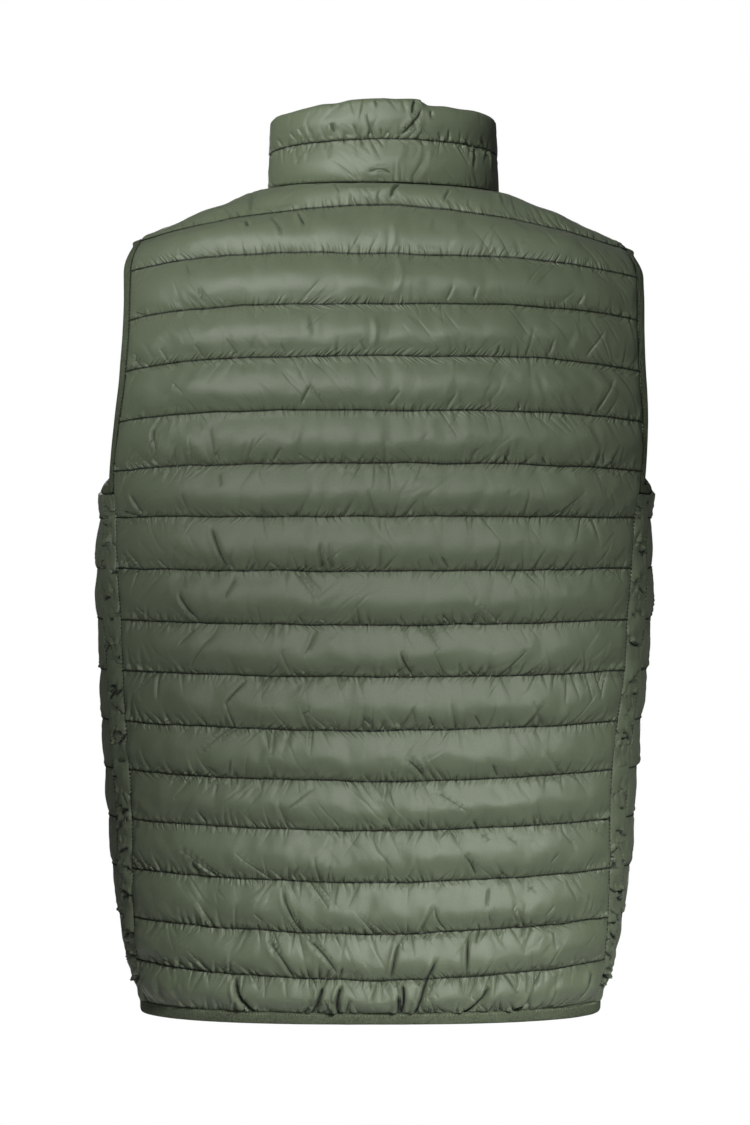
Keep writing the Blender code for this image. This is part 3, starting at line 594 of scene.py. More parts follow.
def filled_channels(cloth, seed):
    """Height of the filled channels above the pressed cloth, with uneven filling."""
    rng = np.random.default_rng(seed)
    number, share = channel_share(cloth)
    panel = cloth.panel
    height = np.zeros(cloth.u.shape)
    for which in np.unique(number):
        rows = number == which
        u = cloth.u[rows]
        sag = COLLAR_SAG if panel is COLLAR_PANEL else SAG
        sag = sag + UNEVEN_SAG * noise_row(u, 90.0, rng)
        profile = np.sin(np.pi * share[rows][:, None] ** sag) ** FILL_POWER
        if panel is SIDE_PANEL:
            profile = np.maximum(profile, GUSSET_FILL)
        fullness = 1.0 + UNEVEN_FILL * noise_row(u, 70.0, rng) + LUMPS * noise_row(u, 22.0, rng)
        height[rows] = panel.puff * profile * fullness
    if panel.thins:
        thin = FRONT_THIN_SHARE if panel is FRONT_PANEL else THIN_SHARE
        height *= 1.0 - thin * ease(np.abs(cloth.base[..., 0]), *panel.thins)
    if panel is COLLAR_PANEL:
        rolled = np.clip((cloth.lines - 1 + TOP_ROUND) / TOP_ROUND, 0.0, 1.0)
        height *= np.sqrt(1 - rolled ** 2)[:, None]
    edge = np.minimum(cloth.u, cloth.u[:, -1:] - cloth.u)
    fade = np.minimum(SIDE_FADE, 0.5 * cloth.u[:, -1:])
    return height * np.sin(0.5 * np.pi * np.clip(edge / fade, 0.0, 1.0)) ** 0.6


def valley(across, ridge, deep=1.0):
    """A fold's section, in shares of its width: a groove with a rounded ridge beside it."""
    tall, place, width = ridge
    return tall * np.exp(-((across - place) / width) ** 2) - deep * np.exp(-across ** 2)


def mark_slit(slits, block, across, depth):
    """Note, near a crease, how far to its side each point is and how sharp its bottom is."""
    # sharp sets the painted shadow at a crease's bottom, as well as its valley and roughness
    sharp = depth * np.clip(1 - np.abs(across) / SLIT_REACH, 0.0, 1.0)
    side, best = slits
    side[block] = np.where(sharp > best[block], across, side[block])
    best[block] = np.maximum(sharp, best[block])


def add_waves(height, cloth, seed):
    """Shallow waves and long thin creases that slant outwards from both sewn lines."""
    rng = np.random.default_rng(seed)
    number, share = channel_share(cloth)
    quiet = WAVES_ON_COLLAR
    for which in np.unique(number):
        rows = np.flatnonzero(number == which)
        if cloth.panel is not COLLAR_PANEL:
            least, more = WAVES_ON_CHEST
            quiet = least + more * ease(cloth.lines[rows[0]], 1.0, 5.0)
        u = cloth.u[rows]
        turn = 1 - 2 * u / cloth.u[rows, -1:]
        for part in (share[rows][:, None], 1 - share[rows][:, None]):
            away = part * cloth.pitch[rows]
            lean = WAVE_LEAN * turn * np.abs(turn) ** 0.3 + 0.45 * noise_row(u, 80.0, rng)
            place = np.maximum(u + lean * away + WAVE_MARGIN, 0.0)
            strength = noise_row(place, 47.0, rng, 0.2, 1.2)
            wave = 0.5 * noise_row(place, 7.5, rng) + 0.8 * noise_row(place, 17.0, rng)
            fade = ease(part, 0.0, 0.12) * (1 - ease(part, 0.4, 0.95))
            height[rows] += quiet * WAVE_DEPTH * wave * strength * fade
            kinks = noise_row(place, 6.5, rng)
            reach = 0.5 * noise_row(place, 13.0, rng, 0.1, 1.0) ** 1.5
            fade = ease(part, 0.0, 0.05) * (1 - ease(part, 0.3 * reach, 0.2 + 0.5 * reach))
            height[rows] -= (quiet * LONG_CREASE_DEPTH * reach * fade
                             * np.exp(-(kinks / KINK_WIDTH) ** 2))
    return height


def add_puckers(height, slits, cloth, seed):
    """Short folds that run out from both sides of each quilt line, most of them above it."""
    rng = np.random.default_rng(seed)
    panel = cloth.panel
    if panel is COLLAR_PANEL:
        sewn, reach = [0.0, COLLAR_STITCH, 1.0], COLLAR_STITCH / 2
    else:
        sewn, reach = [line - panel.phase for line in range(0, int(LAST_LINE) + 2)], 0.5
    middle = len(cloth.places) // 2
    for line in sewn:
        if panel is COLLAR_PANEL:
            calm = COLLAR_CALM[line == COLLAR_STITCH]
        else:
            chest, more, hem = PUCKER_CALM
            calm = chest + more * ease(line, 4.0, 8.0) + hem * ease(line, 15.0, LAST_LINE)
        for below in (False, True):
            low, high = (line, line + reach) if below else (line - reach, line)
            rows = np.flatnonzero((cloth.lines > low + 1e-6) & (cloth.lines < high - 1e-6))
            if len(rows) < 3:
                continue
            away = np.abs(cloth.lines[rows] - line)[:, None] * cloth.pitch[rows, middle][:, None]
            row = cloth.u[rows[len(rows) // 2]]
            length = row[-1]
            count = int(length / PUCKER_SPACING)
            places = (np.arange(count) + rng.uniform(0.0, 1.0, count)) * length / count
            force = np.clip(noise_row(places, 26.0, rng, -0.25, 1.3), 0.25, 1.0)
            lean = noise_row(places, 55.0, rng, -0.55, 0.55)
            lean -= PUCKER_LEAN * (1 - 2 * places / length) ** 3 - (0.0 if below else 0.2)
            for place, strong, slant in zip(places, force, lean):
                near_end = math.exp(-min(place, length - place) / SEAM_REACH)
                width = rng.uniform(*PUCKER_WIDTHS)
                long = rng.uniform(*PUCKER_LENGTHS) + rng.uniform(0.0, 1.0) ** 4 * PUCKER_EXTRA
                long *= 0.7 + strong
                tall = PUCKER_DEPTH * rng.uniform(*PUCKER_HEIGHTS) * strong
                tall *= (1 + SEAM_GAIN * near_end) * (UNDER_SHARE if below else 1.0) * calm
                slant += rng.uniform(*PUCKER_SLANTS)
                span = 2.2 * long + 4
                left, right = np.searchsorted(row, (place - span, place + span))
                if right - left < 3:
                    continue
                block = np.ix_(rows, np.arange(left, right))
                across = cloth.u[block] - place - slant * away
                fade = np.clip(away, 0.0, 1.0) * np.exp(-(away / long) ** 2)
                mark_slit(slits, block, across / math.hypot(1, slant),
                          PUCKER_SLIT * strong * fade * calm)
                height[block] += tall * fade * valley(across / width, PUCKER_RIDGE)
    return height


# ---------------------------------------------------------------- cloth blown up by Blender

def blow_up(cloth, height):
    """Heights of the sheet above its base after Blender's Cloth has filled it with air."""
    points = cloth.base + cloth.normals * (height * BLOWN_START)[..., None]
    bm = bmesh.new()
    grid_of(bm, points)
    mesh = bpy.data.meshes.new("blown_sheet")
    bm.to_mesh(mesh)
    bm.free()
    sheet = bpy.data.objects.new("blown_sheet", mesh)
    bpy.context.scene.collection.objects.link(sheet)
    share = channel_share(cloth)[1]
    sewn = np.zeros(cloth.u.shape, bool)
    sewn[(share < 1e-6) | (share > 1 - 1e-6)] = True
    sewn[[0, -1]] = True
    sewn[:, [0, -1]] = True
    pins = sheet.vertex_groups.new(name="sewn")
    pins.add([int(i) for i in np.flatnonzero(sewn)], 1.0, "REPLACE")
    modifier = sheet.modifiers.new("cloth", "CLOTH")
    for key, value in CLOTH_SETTINGS.items():
        setattr(modifier.settings, key, value)
    modifier.settings.vertex_group_mass = "sewn"
    modifier.settings.effector_weights.gravity = 0.0
    modifier.collision_settings.use_collision = False
    modifier.collision_settings.use_self_collision = False
    modifier.point_cache.frame_start = 1
    modifier.point_cache.frame_end = BLOWN_FRAMES
    scene = bpy.context.scene
    for number in range(1, BLOWN_FRAMES + 1):
        scene.frame_set(number)
    evaluated = sheet.evaluated_get(bpy.context.evaluated_depsgraph_get())
    moved = np.empty(points.size)
    evaluated.to_mesh().vertices.foreach_get("co", moved)
    evaluated.to_mesh_clear()
    bpy.data.objects.remove(sheet)
    bpy.data.meshes.remove(mesh)
    scene.frame_set(1)
    moved = moved.reshape(points.shape) / MM - cloth.base
    return np.einsum("ijk,ijk->ij", moved, cloth.normals)


def read_between(grid, places, axis):
    """Values of a grid at fractional rows or columns, along a smooth curve through them."""
    size = grid.shape[axis]
    i = np.clip(np.floor(places).astype(int), 0, size - 2)
    shape = [1, 1]
    shape[axis] = -1
    t = (places - i).reshape(shape)
    before, here, after, beyond = (np.take(grid, np.clip(i + k, 0, size - 1), axis)
                                   for k in (-1, 0, 1, 2))
    return here + 0.5 * t * (after - before
                             + t * (2 * before - 5 * here + 4 * after - beyond
                                    + t * (3 * (here - after) + beyond - before)))


def smoothed(grid, reach):
    """The grid evened out along its rows."""
    reach = int(reach) | 1
    window = np.hanning(reach + 2)[1:-1]
    wide = np.pad(grid, ((0, 0), (reach // 2, reach // 2)), mode="edge")
    return np.array([np.convolve(row, window / window.sum(), "valid") for row in wide])


def puffed(cloth, seed):
    """The filled channels of a panel, blown up by Blender's Cloth."""
    smooth = filled_channels(cloth, seed)
    panel = cloth.panel
    wide = line_length(cloth.base[len(cloth.lines) // 2])
    places = np.linspace(*panel.ends, max(10, int(wide / BLOWN_STEP)) + 1)
    coarse = lay_out(panel, panel_lines(panel, even_shares(BLOWN_ROWS)), places)
    start = filled_channels(coarse, seed)
    blown = blow_up(coarse, start)
    ratio = np.clip(blown / np.maximum(start, LEAST_START), *BLOWN_LIMITS)
    ratio[:, 0], ratio[:, -1] = ratio[:, 1], ratio[:, -2]
    even = smoothed(ratio, FOLD_WIDTH / BLOWN_STEP)
    kept = CHEST_SWELL_SHARE + (1 - CHEST_SWELL_SHARE) * ease(coarse.lines, 7.0, 12.0)[:, None]
    swelling = (even - 1) * (FRONT_SWELL_SHARE if panel is FRONT_PANEL else SWELL_SHARE * kept)
    folds = (ratio - even) * FOLD_SHARE * (COLLAR_FOLD_SHARE if panel is COLLAR_PANEL else 1.0)
    ratio = 1 + swelling + folds
    low, high = panel.ends
    columns = (cloth.places - low) / (high - low) * (len(places) - 1)
    ratio = read_between(ratio, columns, 1)
    number, share = channel_share(cloth)
    coarse_number, coarse_share = channel_share(coarse)
    result = smooth.copy()
    for which in np.unique(number):
        rows = np.flatnonzero(coarse_number == which)
        block, shares = ratio[rows], coarse_share[rows]
        if len(rows) < 4:
            continue
        block[0] = block[1]
        shares = np.append(shares, shares[-1] + (shares[-1] - shares[-2]))
        block = np.concatenate([block, block[-1:]])
        fine = np.flatnonzero(number == which)
        at = np.interp(share[fine], shares, np.arange(len(shares)))
        result[fine] = smooth[fine] * read_between(block, at, 0)
    return result


# ---------------------------------------------------------------- creases laid one by one

# kinds of crease, as (depth, width); a depth below zero is a ridge
FINE = (1.3, 1.2)
SHARP = (2.1, 1.3)
SOFT = (0.9, 2.6)
RIDGE = (-1.0, 2.4)
LONG = (2.6, 1.5)
FOLD = (4.2, 1.8)
DEEPEST = (5.0, 1.9)
# each crease is (x0, z0, x1, z1, kind) or (x0, z0, x1, z1, kind, bow): its ends in millimetres
# sideways and up, seen from behind, and how far its middle swings to one side
BACK_CREASES = (
    # channel 0
    (99, -21, 101, -35, SHARP, -1.0), (113, -25, 109, -31, FINE), (-21, -11, -10, -26, SOFT),
    (30, -22, 26, -26, SOFT), (-59, -12, -67, -17, FINE), (-93, -17, -105, -33, FINE),
    (-94, -18, -102, -30, RIDGE), (115, -23, 110, -30, FINE), (78, -7, 73, -15, SOFT),
    (33, -12, 28, -22, FINE), (-21, -12, -13, -25, SHARP, 1.1), (-64, -12, -68, -21, SHARP),
    (-60, -21, -56, -28, FINE), (101, -21, 100, -34, SHARP),
    # channel 1
    (110, -44, 103, -51, FINE), (84, -41, 74, -54, FINE), (63, -36, 58, -48, FINE),
    (152, -51, 142, -70, SOFT), (-16, -50, -16, -66, RIDGE), (-115, -40, -127, -54, SOFT),
    (-59, -63, -68, -53, SOFT), (86, -40, 75, -57, FINE), (105, -44, 103, -51, SHARP),
    (63, -35, 57, -49, SHARP), (44, -35, 37, -44, SOFT), (-51, -44, -47, -54, SOFT),
    (-76, -44, -67, -55, SOFT),
    # channel 2
    (-16, -69, -17, -102, RIDGE, -5.0), (143, -102, 140, -109, FINE),
    (-59, -106, -64, -96, FINE), (-81, -105, -83, -98, FINE), (-166, -110, -170, -103, FINE),
    (18, -71, 12, -78, RIDGE), (198, -115, 187, -119, SHARP), (154, -78, 150, -89, FINE),
    (143, -98, 139, -106, FINE),
    # channel 3
    (146, -143, 139, -155, FINE), (121, -138, 112, -152, FINE), (174, -147, 169, -157, FINE),
    (198, -149, 185, -161, FINE), (-101, -151, -102, -144, FINE), (-74, -150, -75, -144, FINE),
    (-143, -151, -145, -140, FINE), (-156, -146, -163, -133, SOFT),
    (-172, -153, -188, -131, FINE), (53, -116, 49, -137, SOFT), (77, -142, 72, -150, FINE),
    (4, -118, 4, -148, RIDGE, -4.9), (12, -140, 7, -148, FINE), (198, -153, 190, -162, SHARP),
    # channel 4
    (165, -173, 155, -183, FINE), (-59, -194, -67, -182, FINE), (-68, -182, -75, -189, SOFT),
    (-94, -188, -96, -194, FINE), (-117, -190, -119, -196, FINE), (-133, -167, -141, -195, SOFT),
    (-180, -200, -197, -169, FINE), (-152, -184, -159, -198, SOFT), (53, -176, 40, -195, FINE),
    (51, -175, 61, -192, FINE), (-12, -192, -21, -180, FINE),
    # channel 5
    (178, -221, 178, -234, FINE), (162, -226, 164, -241, FINE), (129, -229, 127, -241, FINE),
    (76, -227, 84, -239, FINE), (-105, -233, -111, -241, SHARP), (-133, -225, -139, -237, SOFT),
    (-136, -235, -141, -241, SHARP), (-176, -205, -183, -225, SOFT),
    (-185, -232, -188, -241, FINE), (-180, -233, -181, -244, FINE),
    (-194, -235, -194, -242, FINE), (181, -211, 179, -224, SHARP), (134, -208, 129, -242, FINE),
    (58, -212, 63, -229, RIDGE, 3.5), (63, -231, 54, -239, FINE),
    # channel 6
    (156, -265, 153, -278, FINE), (127, -247, 124, -260, FINE), (199, -265, 190, -283, SHARP),
    (208, -279, 190, -285, SHARP),
    # channel 7
    (134, -292, 120, -328, LONG), (202, -311, 191, -326, FINE), (177, -318, 169, -329, FINE),
    (91, -328, 86, -320, FINE), (86, -320, 77, -328, FINE), (-34, -320, -39, -329, FINE),
    (-45, -316, -49, -327, FINE), (-54, -316, -61, -327, SHARP), (-82, -320, -84, -327, FINE),
    # channel 8
    (159, -347, 146, -368, LONG, 0.7), (113, -334, 122, -352, FINE),
    (125, -359, 109, -333, SOFT, -2.3), (52, -334, 50, -366, SOFT, -3.5),
    (63, -365, 59, -372, FINE), (45, -367, 39, -372, FINE), (-20, -365, -23, -372, FINE),
    (-39, -363, -40, -372, FINE), (-49, -365, -53, -373, FINE), (-54, -363, -63, -373, SHARP),
    (-81, -362, -82, -372, FINE),
    # channel 9
    (129, -378, 151, -409, FINE, 0.6), (147, -376, 160, -391, FINE), (47, -377, 55, -396, FINE),
    (75, -377, 83, -403, SOFT, -1.2), (49, -378, 58, -398, FINE, -1.8),
    (87, -415, 79, -407, FINE), (18, -415, 13, -407, FINE), (-21, -395, -32, -415, LONG, 1.6),
    (-68, -403, -72, -415, FINE),
    # channel 10
    (105, -419, 123, -440, SHARP, 0.5), (60, -447, 53, -443, SHARP), (11, -448, 2, -457, SHARP),
    (-11, -448, -17, -457, FINE), (-30, -440, -33, -453, FINE), (-43, -447, -49, -458, SHARP),
    (-81, -447, -87, -457, SHARP),
    # channel 11
    (120, -495, 117, -484, FINE), (96, -485, 89, -471, SOFT), (77, -479, 68, -466, SOFT),
    (136, -489, 129, -497, FINE), (9, -496, 5, -502, FINE), (-12, -494, -16, -502, FINE),
    (-26, -484, -40, -499, LONG, -1.4), (-95, -487, -101, -499, SHARP),
    # channel 12
    (-80, -534, -85, -543, SHARP), (129, -504, 130, -512, FINE), (49, -507, 72, -526, FINE, 0.3),
    (-12, -509, -7, -517, FINE), (144, -526, 138, -537, SHARP), (-49, -510, -76, -527, FINE),
    (-10, -531, -15, -542, SHARP), (5, -534, -2, -541, FINE), (-36, -534, -40, -541, SHARP),
    (-95, -505, -106, -519, SOFT),
    # channel 13
    (150, -567, 143, -578, LONG), (62, -571, 69, -582, FINE), (-72, -562, -82, -579, LONG, -1.2),
    (-107, -546, -117, -555, FINE), (-152, -542, -162, -557, FINE),
    (-176, -540, -189, -549, FINE), (-148, -561, -142, -569, FINE), (-86, -545, -94, -550, FINE),
    (33, -549, 39, -559, SOFT),
    # channel 14
    (76, -590, 57, -630, LONG, 2.6), (98, -610, 91, -617, FINE),
    (-49, -605, -60, -625, SHARP, 3.3), (-93, -589, -90, -605, FINE),
    (-92, -611, -94, -618, SHARP), (-145, -602, -136, -613, FINE),
    (-156, -583, -163, -601, FINE), (-124, -588, -131, -593, FINE),
    (-110, -605, -115, -618, FINE),
    # channel 15
    (-20, -634, -13, -666, LONG, 1.1), (27, -655, 30, -667, SHARP),
    (89, -631, 66, -667, LONG, -2.3), (57, -631, 31, -660, LONG, -2.4),
    (185, -643, 177, -654, FINE), (143, -646, 138, -657, FINE),
    (-77, -628, -75, -662, LONG, 1.1), (-86, -625, -82, -636, SHARP),
    (-146, -625, -146, -639, FINE), (-146, -644, -141, -654, FINE), (-23, -630, -21, -638, FINE),
    # channel 16
    (115, -663, 96, -694, FOLD, 4.1), (43, -670, 53, -695, FOLD, -1.2),
    (27, -670, 29, -696, FOLD, 3.4), (-19, -677, -19, -696, FOLD),
    (-22, -668, -21, -691, LONG, -1.7), (-51, -646, -32, -696, FOLD, 0.8),
    (-94, -669, -68, -696, FOLD, -2.7), (-137, -658, -129, -670, FINE),
    (-126, -681, -110, -694, DEEPEST, -0.9), (-176, -659, -166, -680, LONG, -0.9),
    (177, -662, 157, -684, SOFT, 5.0), (168, -664, 152, -687, SOFT), (100, -684, 73, -696, SOFT),
    (-152, -660, -138, -677, SOFT), (111, -691, 109, -694, FINE), (130, -689, 124, -692, FINE),
)
COLLAR_CREASES = (
    (67, 31, 63, 27, FINE), (59, 35, 58, 31, FINE), (34, 39, 32, 31, SHARP),
    (16, 38, 14, 31, FINE), (-5, 35, -6, 30, FINE), (-38, 51, -21, 30, LONG, -1.6),
    (-30, 42, -34, 33, FINE), (-37, 49, -42, 31, SOFT), (-45, 50, -45, 44, SHARP),
    (-59, 33, -60, 26, FINE), (-73, 31, -77, 26, SOFT), (26, 28, 24, 23, FINE),
    (12, 28, 9, 21, FINE), (-2, 27, -7, 21, FINE), (-37, 26, -40, 21, SHARP),
    (-69, 22, -73, 17, FINE), (-45, 19, -36, -7, RIDGE, -1.9), (-26, 26, -22, 4, SOFT, -2.3),
    (6, -2, -15, -3, SHARP, -3.7), (-1, 59, -2, 53, FINE), (-33, 60, -30, 46, LONG, 0.5),
    (78, 26, 75, 21, FINE), (52, 34, 49, 29, FINE), (-51, 31, -54, 26, FINE),
    (-85, 27, -90, 21, FINE), (71, 23, 68, 18, FINE),
)
CREASE_PLANE = 120.0           # the plane that they are drawn on
HEM_FOLDS_Z = -655.0           # folds that start below it are the hem's
HEM_END_Z = -688.0             # folds that reach it run on to the binding


def gusset_tucks(length, seed):
    """Uneven tucks across a gusset, most in twos and threes near its sewn lines."""
    rng = np.random.default_rng(seed)
    tucks = []
    place = 14.0
    while place < length - 6:
        for _ in range(rng.integers(1, 4)):
            down = place + rng.uniform(-6.0, 6.0)
            start = rng.uniform(-4.0, 16.0)
            reach = rng.uniform(8.0, 20.0)
            slant = rng.uniform(-0.7, 0.7)
            kind = (rng.uniform(2.0, 5.0), rng.uniform(1.2, 1.8))
            tucks.append((start, -down, start + reach, -down + slant * reach, kind,
                          rng.uniform(-2.0, 2.0)))
        place += rng.uniform(9.0, 34.0 - 16.0 * place / length)
    return tucks


def seen_from_behind(cloth):
    """Each point's place on a plane behind the back, as (sideways, up)."""
    hung = settle(cloth.base)
    nearness = (CAMERA_Y / MM - CREASE_PLANE) / (CAMERA_Y / MM - hung[..., 1])
    return hung[..., 0] * nearness, CAMERA_Z / MM + (hung[..., 2] - CAMERA_Z / MM) * nearness


def press_creases(height, slits, x, z, creases, facing=1.0):
    """Press creases in; facing is 1 where they are wanted and 0 where they aren't."""
    for x0, z0, x1, z1, (depth, width), *swing in creases:
        length = math.hypot(x1 - x0, z1 - z0)
        run_x, run_z = (x1 - x0) / length, (z1 - z0) / length
        share = ((x - x0) * run_x + (z - z0) * run_z) / length
        within = np.clip(share, 0.0, 1.0)
        bow = sum(swing) * 4 * within * (1 - within)
        across = (z - z0) * run_x - (x - x0) * run_z - bow
        ends = CREASE_END if z1 > HEM_END_Z else (1.0, 1.0 + HEM_RUN_ON / length)
        fade = ease(share, *CREASE_START) * (1 - ease(share, *ends)) * facing
        grown = HEM_GAIN if z0 < HEM_FOLDS_Z else 1.0
        if width > SOFT_WIDTH and z0 > 0:
            grown = SOFT_ON_COLLAR
        if depth > SLIT_LEAST:
            mark_slit(slits, (), across, min(1.0, depth * grown / SLIT_FULL) * fade)
        across = across / (width * CREASE_WIDENS)
        height += CREASE_DEEPENS * depth * fade * valley(across, CREASE_RIDGE, grown)
    return height


# ---------------------------------------------------------------- making pieces

def grid_of(bm, points):
    """A sheet of faces with one vertex at each point of a (rows, columns, 3) array."""
    rows, columns = points.shape[:2]
    start = len(bm.verts)
    bmesh.ops.create_grid(bm, x_segments=columns - 1, y_segments=rows - 1, size=0.5)
    bm.verts.ensure_lookup_table()
    for i, point in enumerate((points * MM).reshape(-1, 3)):
        bm.verts[start + i].co = point
    return start


def finished(name, bm, material, smooth_angle=50.0):
    bmesh.ops.recalc_face_normals(bm, faces=bm.faces)
    mesh = bpy.data.meshes.new(name)
    bm.to_mesh(mesh)
    bm.free()
    mesh.materials.append(material)
    mesh.shade_smooth()
    mesh.set_sharp_from_angle(angle=math.radians(smooth_angle))
    piece = bpy.data.objects.new(name, mesh)
    bpy.context.scene.collection.objects.link(piece)
    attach(piece, "vest")
    return piece


# added to the distance from a sewn line, which makes its dark line of painted shade thinner or
# wider
LINE_SHIFTS = {SIDE_PANEL: 0.7, COLLAR_PANEL: -0.35}


def sew_wall(name, cloth, height, slits, material, side=1, inner_step=6):
    """One quilted wall: the outer sheet stands up by height, the inner one is plain."""
    outer = settle((cloth.base + cloth.normals * height[..., None]) * side_factor(side))
    rows = np.unique(np.append(np.arange(0, len(cloth.lines), inner_step), len(cloth.lines) - 1))
    columns = np.unique(np.append(np.arange(0, len(cloth.places), inner_step),
                                  len(cloth.places) - 1))
    pick = np.ix_(rows, columns)
    inner = settle((cloth.base[pick] - cloth.normals[pick] * WALL) * side_factor(side))
    bm = bmesh.new()
    grid_of(bm, outer)
    grid_of(bm, inner)
    bmesh.ops.bridge_loops(bm, edges=[e for e in bm.edges if e.is_boundary])
    share = channel_share(cloth)[1]
    near = np.minimum(share, 1 - share)[:, None] * cloth.pitch
    near = near + LINE_SHIFTS.get(cloth.panel, 0.0)
    piece = finished(name, bm, material, 75.0)
    lay_uv(piece, cloth, pick, {"from_line": near, "slit_side": slits[0], "slit_depth": slits[1]})
    return piece


def distance_down(cloth, pitch):
    """The distance of each point from the cloth's first line, for one pitch a row."""
    steps = np.append(0.0, np.cumsum(np.diff(cloth.lines) * pitch[1:]))
    return np.broadcast_to(steps[:, None], cloth.u.shape)


def lay_uv(piece, cloth, pick, values):
    """UVs in metres along and down the cloth, and named values at its points."""
    down = distance_down(cloth, cloth.pitch.mean(axis=1))
    flat = np.stack([cloth.u, down], axis=-1)
    per_vertex = np.concatenate([flat.reshape(-1, 2), flat[pick].reshape(-1, 2)]) * MM
    mesh = piece.data
    corners = np.empty(len(mesh.loops), np.int32)
    mesh.loops.foreach_get("vertex_index", corners)
    layer = mesh.uv_layers.new(name="cloth")
    layer.data.foreach_set("uv", per_vertex[corners].astype(np.float32).ravel())
    for name, grid in values.items():
        both = np.concatenate([grid.reshape(-1), grid[pick].reshape(-1)])
        mesh.attributes.new(name, "FLOAT", "POINT").data.foreach_set(
            "value", both.astype(np.float32))


def even_places(panel, line, step):
    low, high = panel.ends
    length = line_length(panel.row(line, np.linspace(low, high, 400)))
    return np.linspace(low, high, int(round(length / step / 4)) * 4 + 1)


def make_panel(name, panel, nodes, material, seed, line_for_columns, side=1, creases=(),
               column_step=COLUMN_STEP, count=ROWS_PER_CHANNEL):
    lines = panel_lines(panel, channel_shares(count))
    cloth = lay_out(panel, lines, even_places(panel, line_for_columns, column_step))
    height = puffed(cloth, seed)
    least = LEAST_SHARE * height
    slits = np.zeros((2, *height.shape))
    add_waves(height, cloth, seed + 2)
    add_puckers(height, slits, cloth, seed + 1)
    if panel is SIDE_PANEL:
        down = distance_down(cloth, cloth.pitch[:, 0])
        press_creases(height, slits, cloth.u, -down, gusset_tucks(down[-1, 0], seed + 3))
    else:
        press_creases(height, slits, *seen_from_behind(cloth), creases,
                      ease(cloth.normals[..., 1], 0.2, 0.5))
    height = np.maximum(height, least)
    piece = sew_wall(name, cloth, height, slits, material, side)
    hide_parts(*nodes)
    return piece, cloth


# ---------------------------------------------------------------- materials

def new_material(name, colour, roughness, metallic=0.0):
    material = bpy.data.materials.new(name)
    material.use_nodes = True
    shader = material.node_tree.nodes["Principled BSDF"]
    shader.inputs["Base Color"].default_value = colour
    shader.inputs["Roughness"].default_value = roughness
    shader.inputs["Metallic"].default_value = metallic
    return material, shader


def node_group(name, inputs, outputs):
    """An empty group with named sockets, given as (name, type, default)."""
    group = bpy.data.node_groups.new(name, "ShaderNodeTree")
    for label, kind, default in inputs:
        socket = group.interface.new_socket(label, in_out="INPUT", socket_type=kind)
        if default is not None:
            socket.default_value = default
    for label, kind in outputs:
        group.interface.new_socket(label, in_out="OUTPUT", socket_type=kind)
    return group, group.nodes.new("NodeGroupInput"), group.nodes.new("NodeGroupOutput")


def add_node(tree, kind, links=(), **settings):
    """A node with its settings, and (input, value or output) pairs."""
    node = tree.nodes.new(kind)
    for key, value in settings.items():
        setattr(node, key, value)
    for socket, value in links:
        if isinstance(value, bpy.types.NodeSocket):
            tree.links.new(value, node.inputs[socket])
        else:
            node.inputs[socket].default_value = value
    return node


def maths(tree, operation, *values, clamp=False):
    """The result of one Math node."""
    node = add_node(tree, "ShaderNodeMath", list(enumerate(values)), operation=operation,
                    use_clamp=clamp)
    return node.outputs[0]


def noise(tree, place, scale, detail, dimensions="3D", roughness=0.5):
    """The values of one Noise Texture node."""
    node = add_node(tree, "ShaderNodeTexNoise", [
        ("Vector", place), ("Scale", scale), ("Detail", detail), ("Roughness", roughness)],
        noise_dimensions=dimensions)
    return node.outputs["Fac"]


def smooth_step(tree, value, low, high, start=0.0, stop=1.0):
    """Runs from start, where the value is low, to stop, where it is high."""
    node = add_node(tree, "ShaderNodeMapRange", [
        ("Value", value), ("From Min", low), ("From Max", high), ("To Min", start),
        ("To Max", stop)], interpolation_type="SMOOTHSTEP")
    return node.outputs[0]


def grooves(tree, place, scales, sharpness, turn=0.0):
    """Thin valleys that run along the second direction of a turned pattern."""
    turned = add_node(tree, "ShaderNodeMapping", [
        ("Vector", place), ("Rotation", (0.0, 0.0, turn))])
    stretched = add_node(tree, "ShaderNodeVectorMath", [
        (0, turned.outputs[0]), (1, (*scales, 1.0))], operation="MULTIPLY")
    pattern = noise(tree, stretched.outputs[0], 1.0, 2.0, "2D", 0.55)
    centred = maths(tree, "SUBTRACT", pattern, 0.5)
    return maths(tree, "MULTIPLY", maths(tree, "ABSOLUTE", centred), sharpness, clamp=True)


def sewn_wrinkles():
    """Height of the small wrinkles that run out from a sewn line, and of stray fine creases."""
    group, given, result = node_group(
        "sewn_wrinkles", [("Vector", "NodeSocketVector", None), ("Away", "NodeSocketFloat", 5.0),
                          ("Reach", "NodeSocketFloat", 9.0), ("Valley", "NodeSocketFloat", 0.0)],
        [("Height", "NodeSocketFloat")])
    place, away = given.outputs["Vector"], given.outputs["Away"]
    lean = maths(group, "MULTIPLY",
                 maths(group, "SUBTRACT", noise(group, place, 9.0, 1.0, "2D"), 0.5),
                 maths(group, "MULTIPLY", away, 0.006))
    sideways = add_node(group, "ShaderNodeCombineXYZ", [("X", lean)])
    leaned = add_node(group, "ShaderNodeVectorMath", [(0, place), (1, sideways.outputs[0])],
                      operation="ADD")
    near = smooth_step(group, away, 0.5, given.outputs["Reach"], 1.0, 0.0)
    short = maths(group, "MULTIPLY", grooves(group, leaned.outputs[0], (125.0, 15.0), 7.0), near)
    patches = noise(group, place, 17.0, 1.0, "2D")
    total = maths(group, "SUBTRACT", maths(group, "MULTIPLY", short, 0.6), given.outputs["Valley"])
    for turn, low, high in ((0.75, 0.56, 0.66), (-0.6, 0.44, 0.34)):
        where = smooth_step(group, patches, low, high)
        long = maths(group, "SUBTRACT", grooves(group, place, (36.0, 9.0), 16.0, turn), 1.0)
        total = maths(group, "MULTIPLY_ADD", long, maths(group, "MULTIPLY", where, 0.24), total)
    group.links.new(total, result.inputs["Height"])
    return group


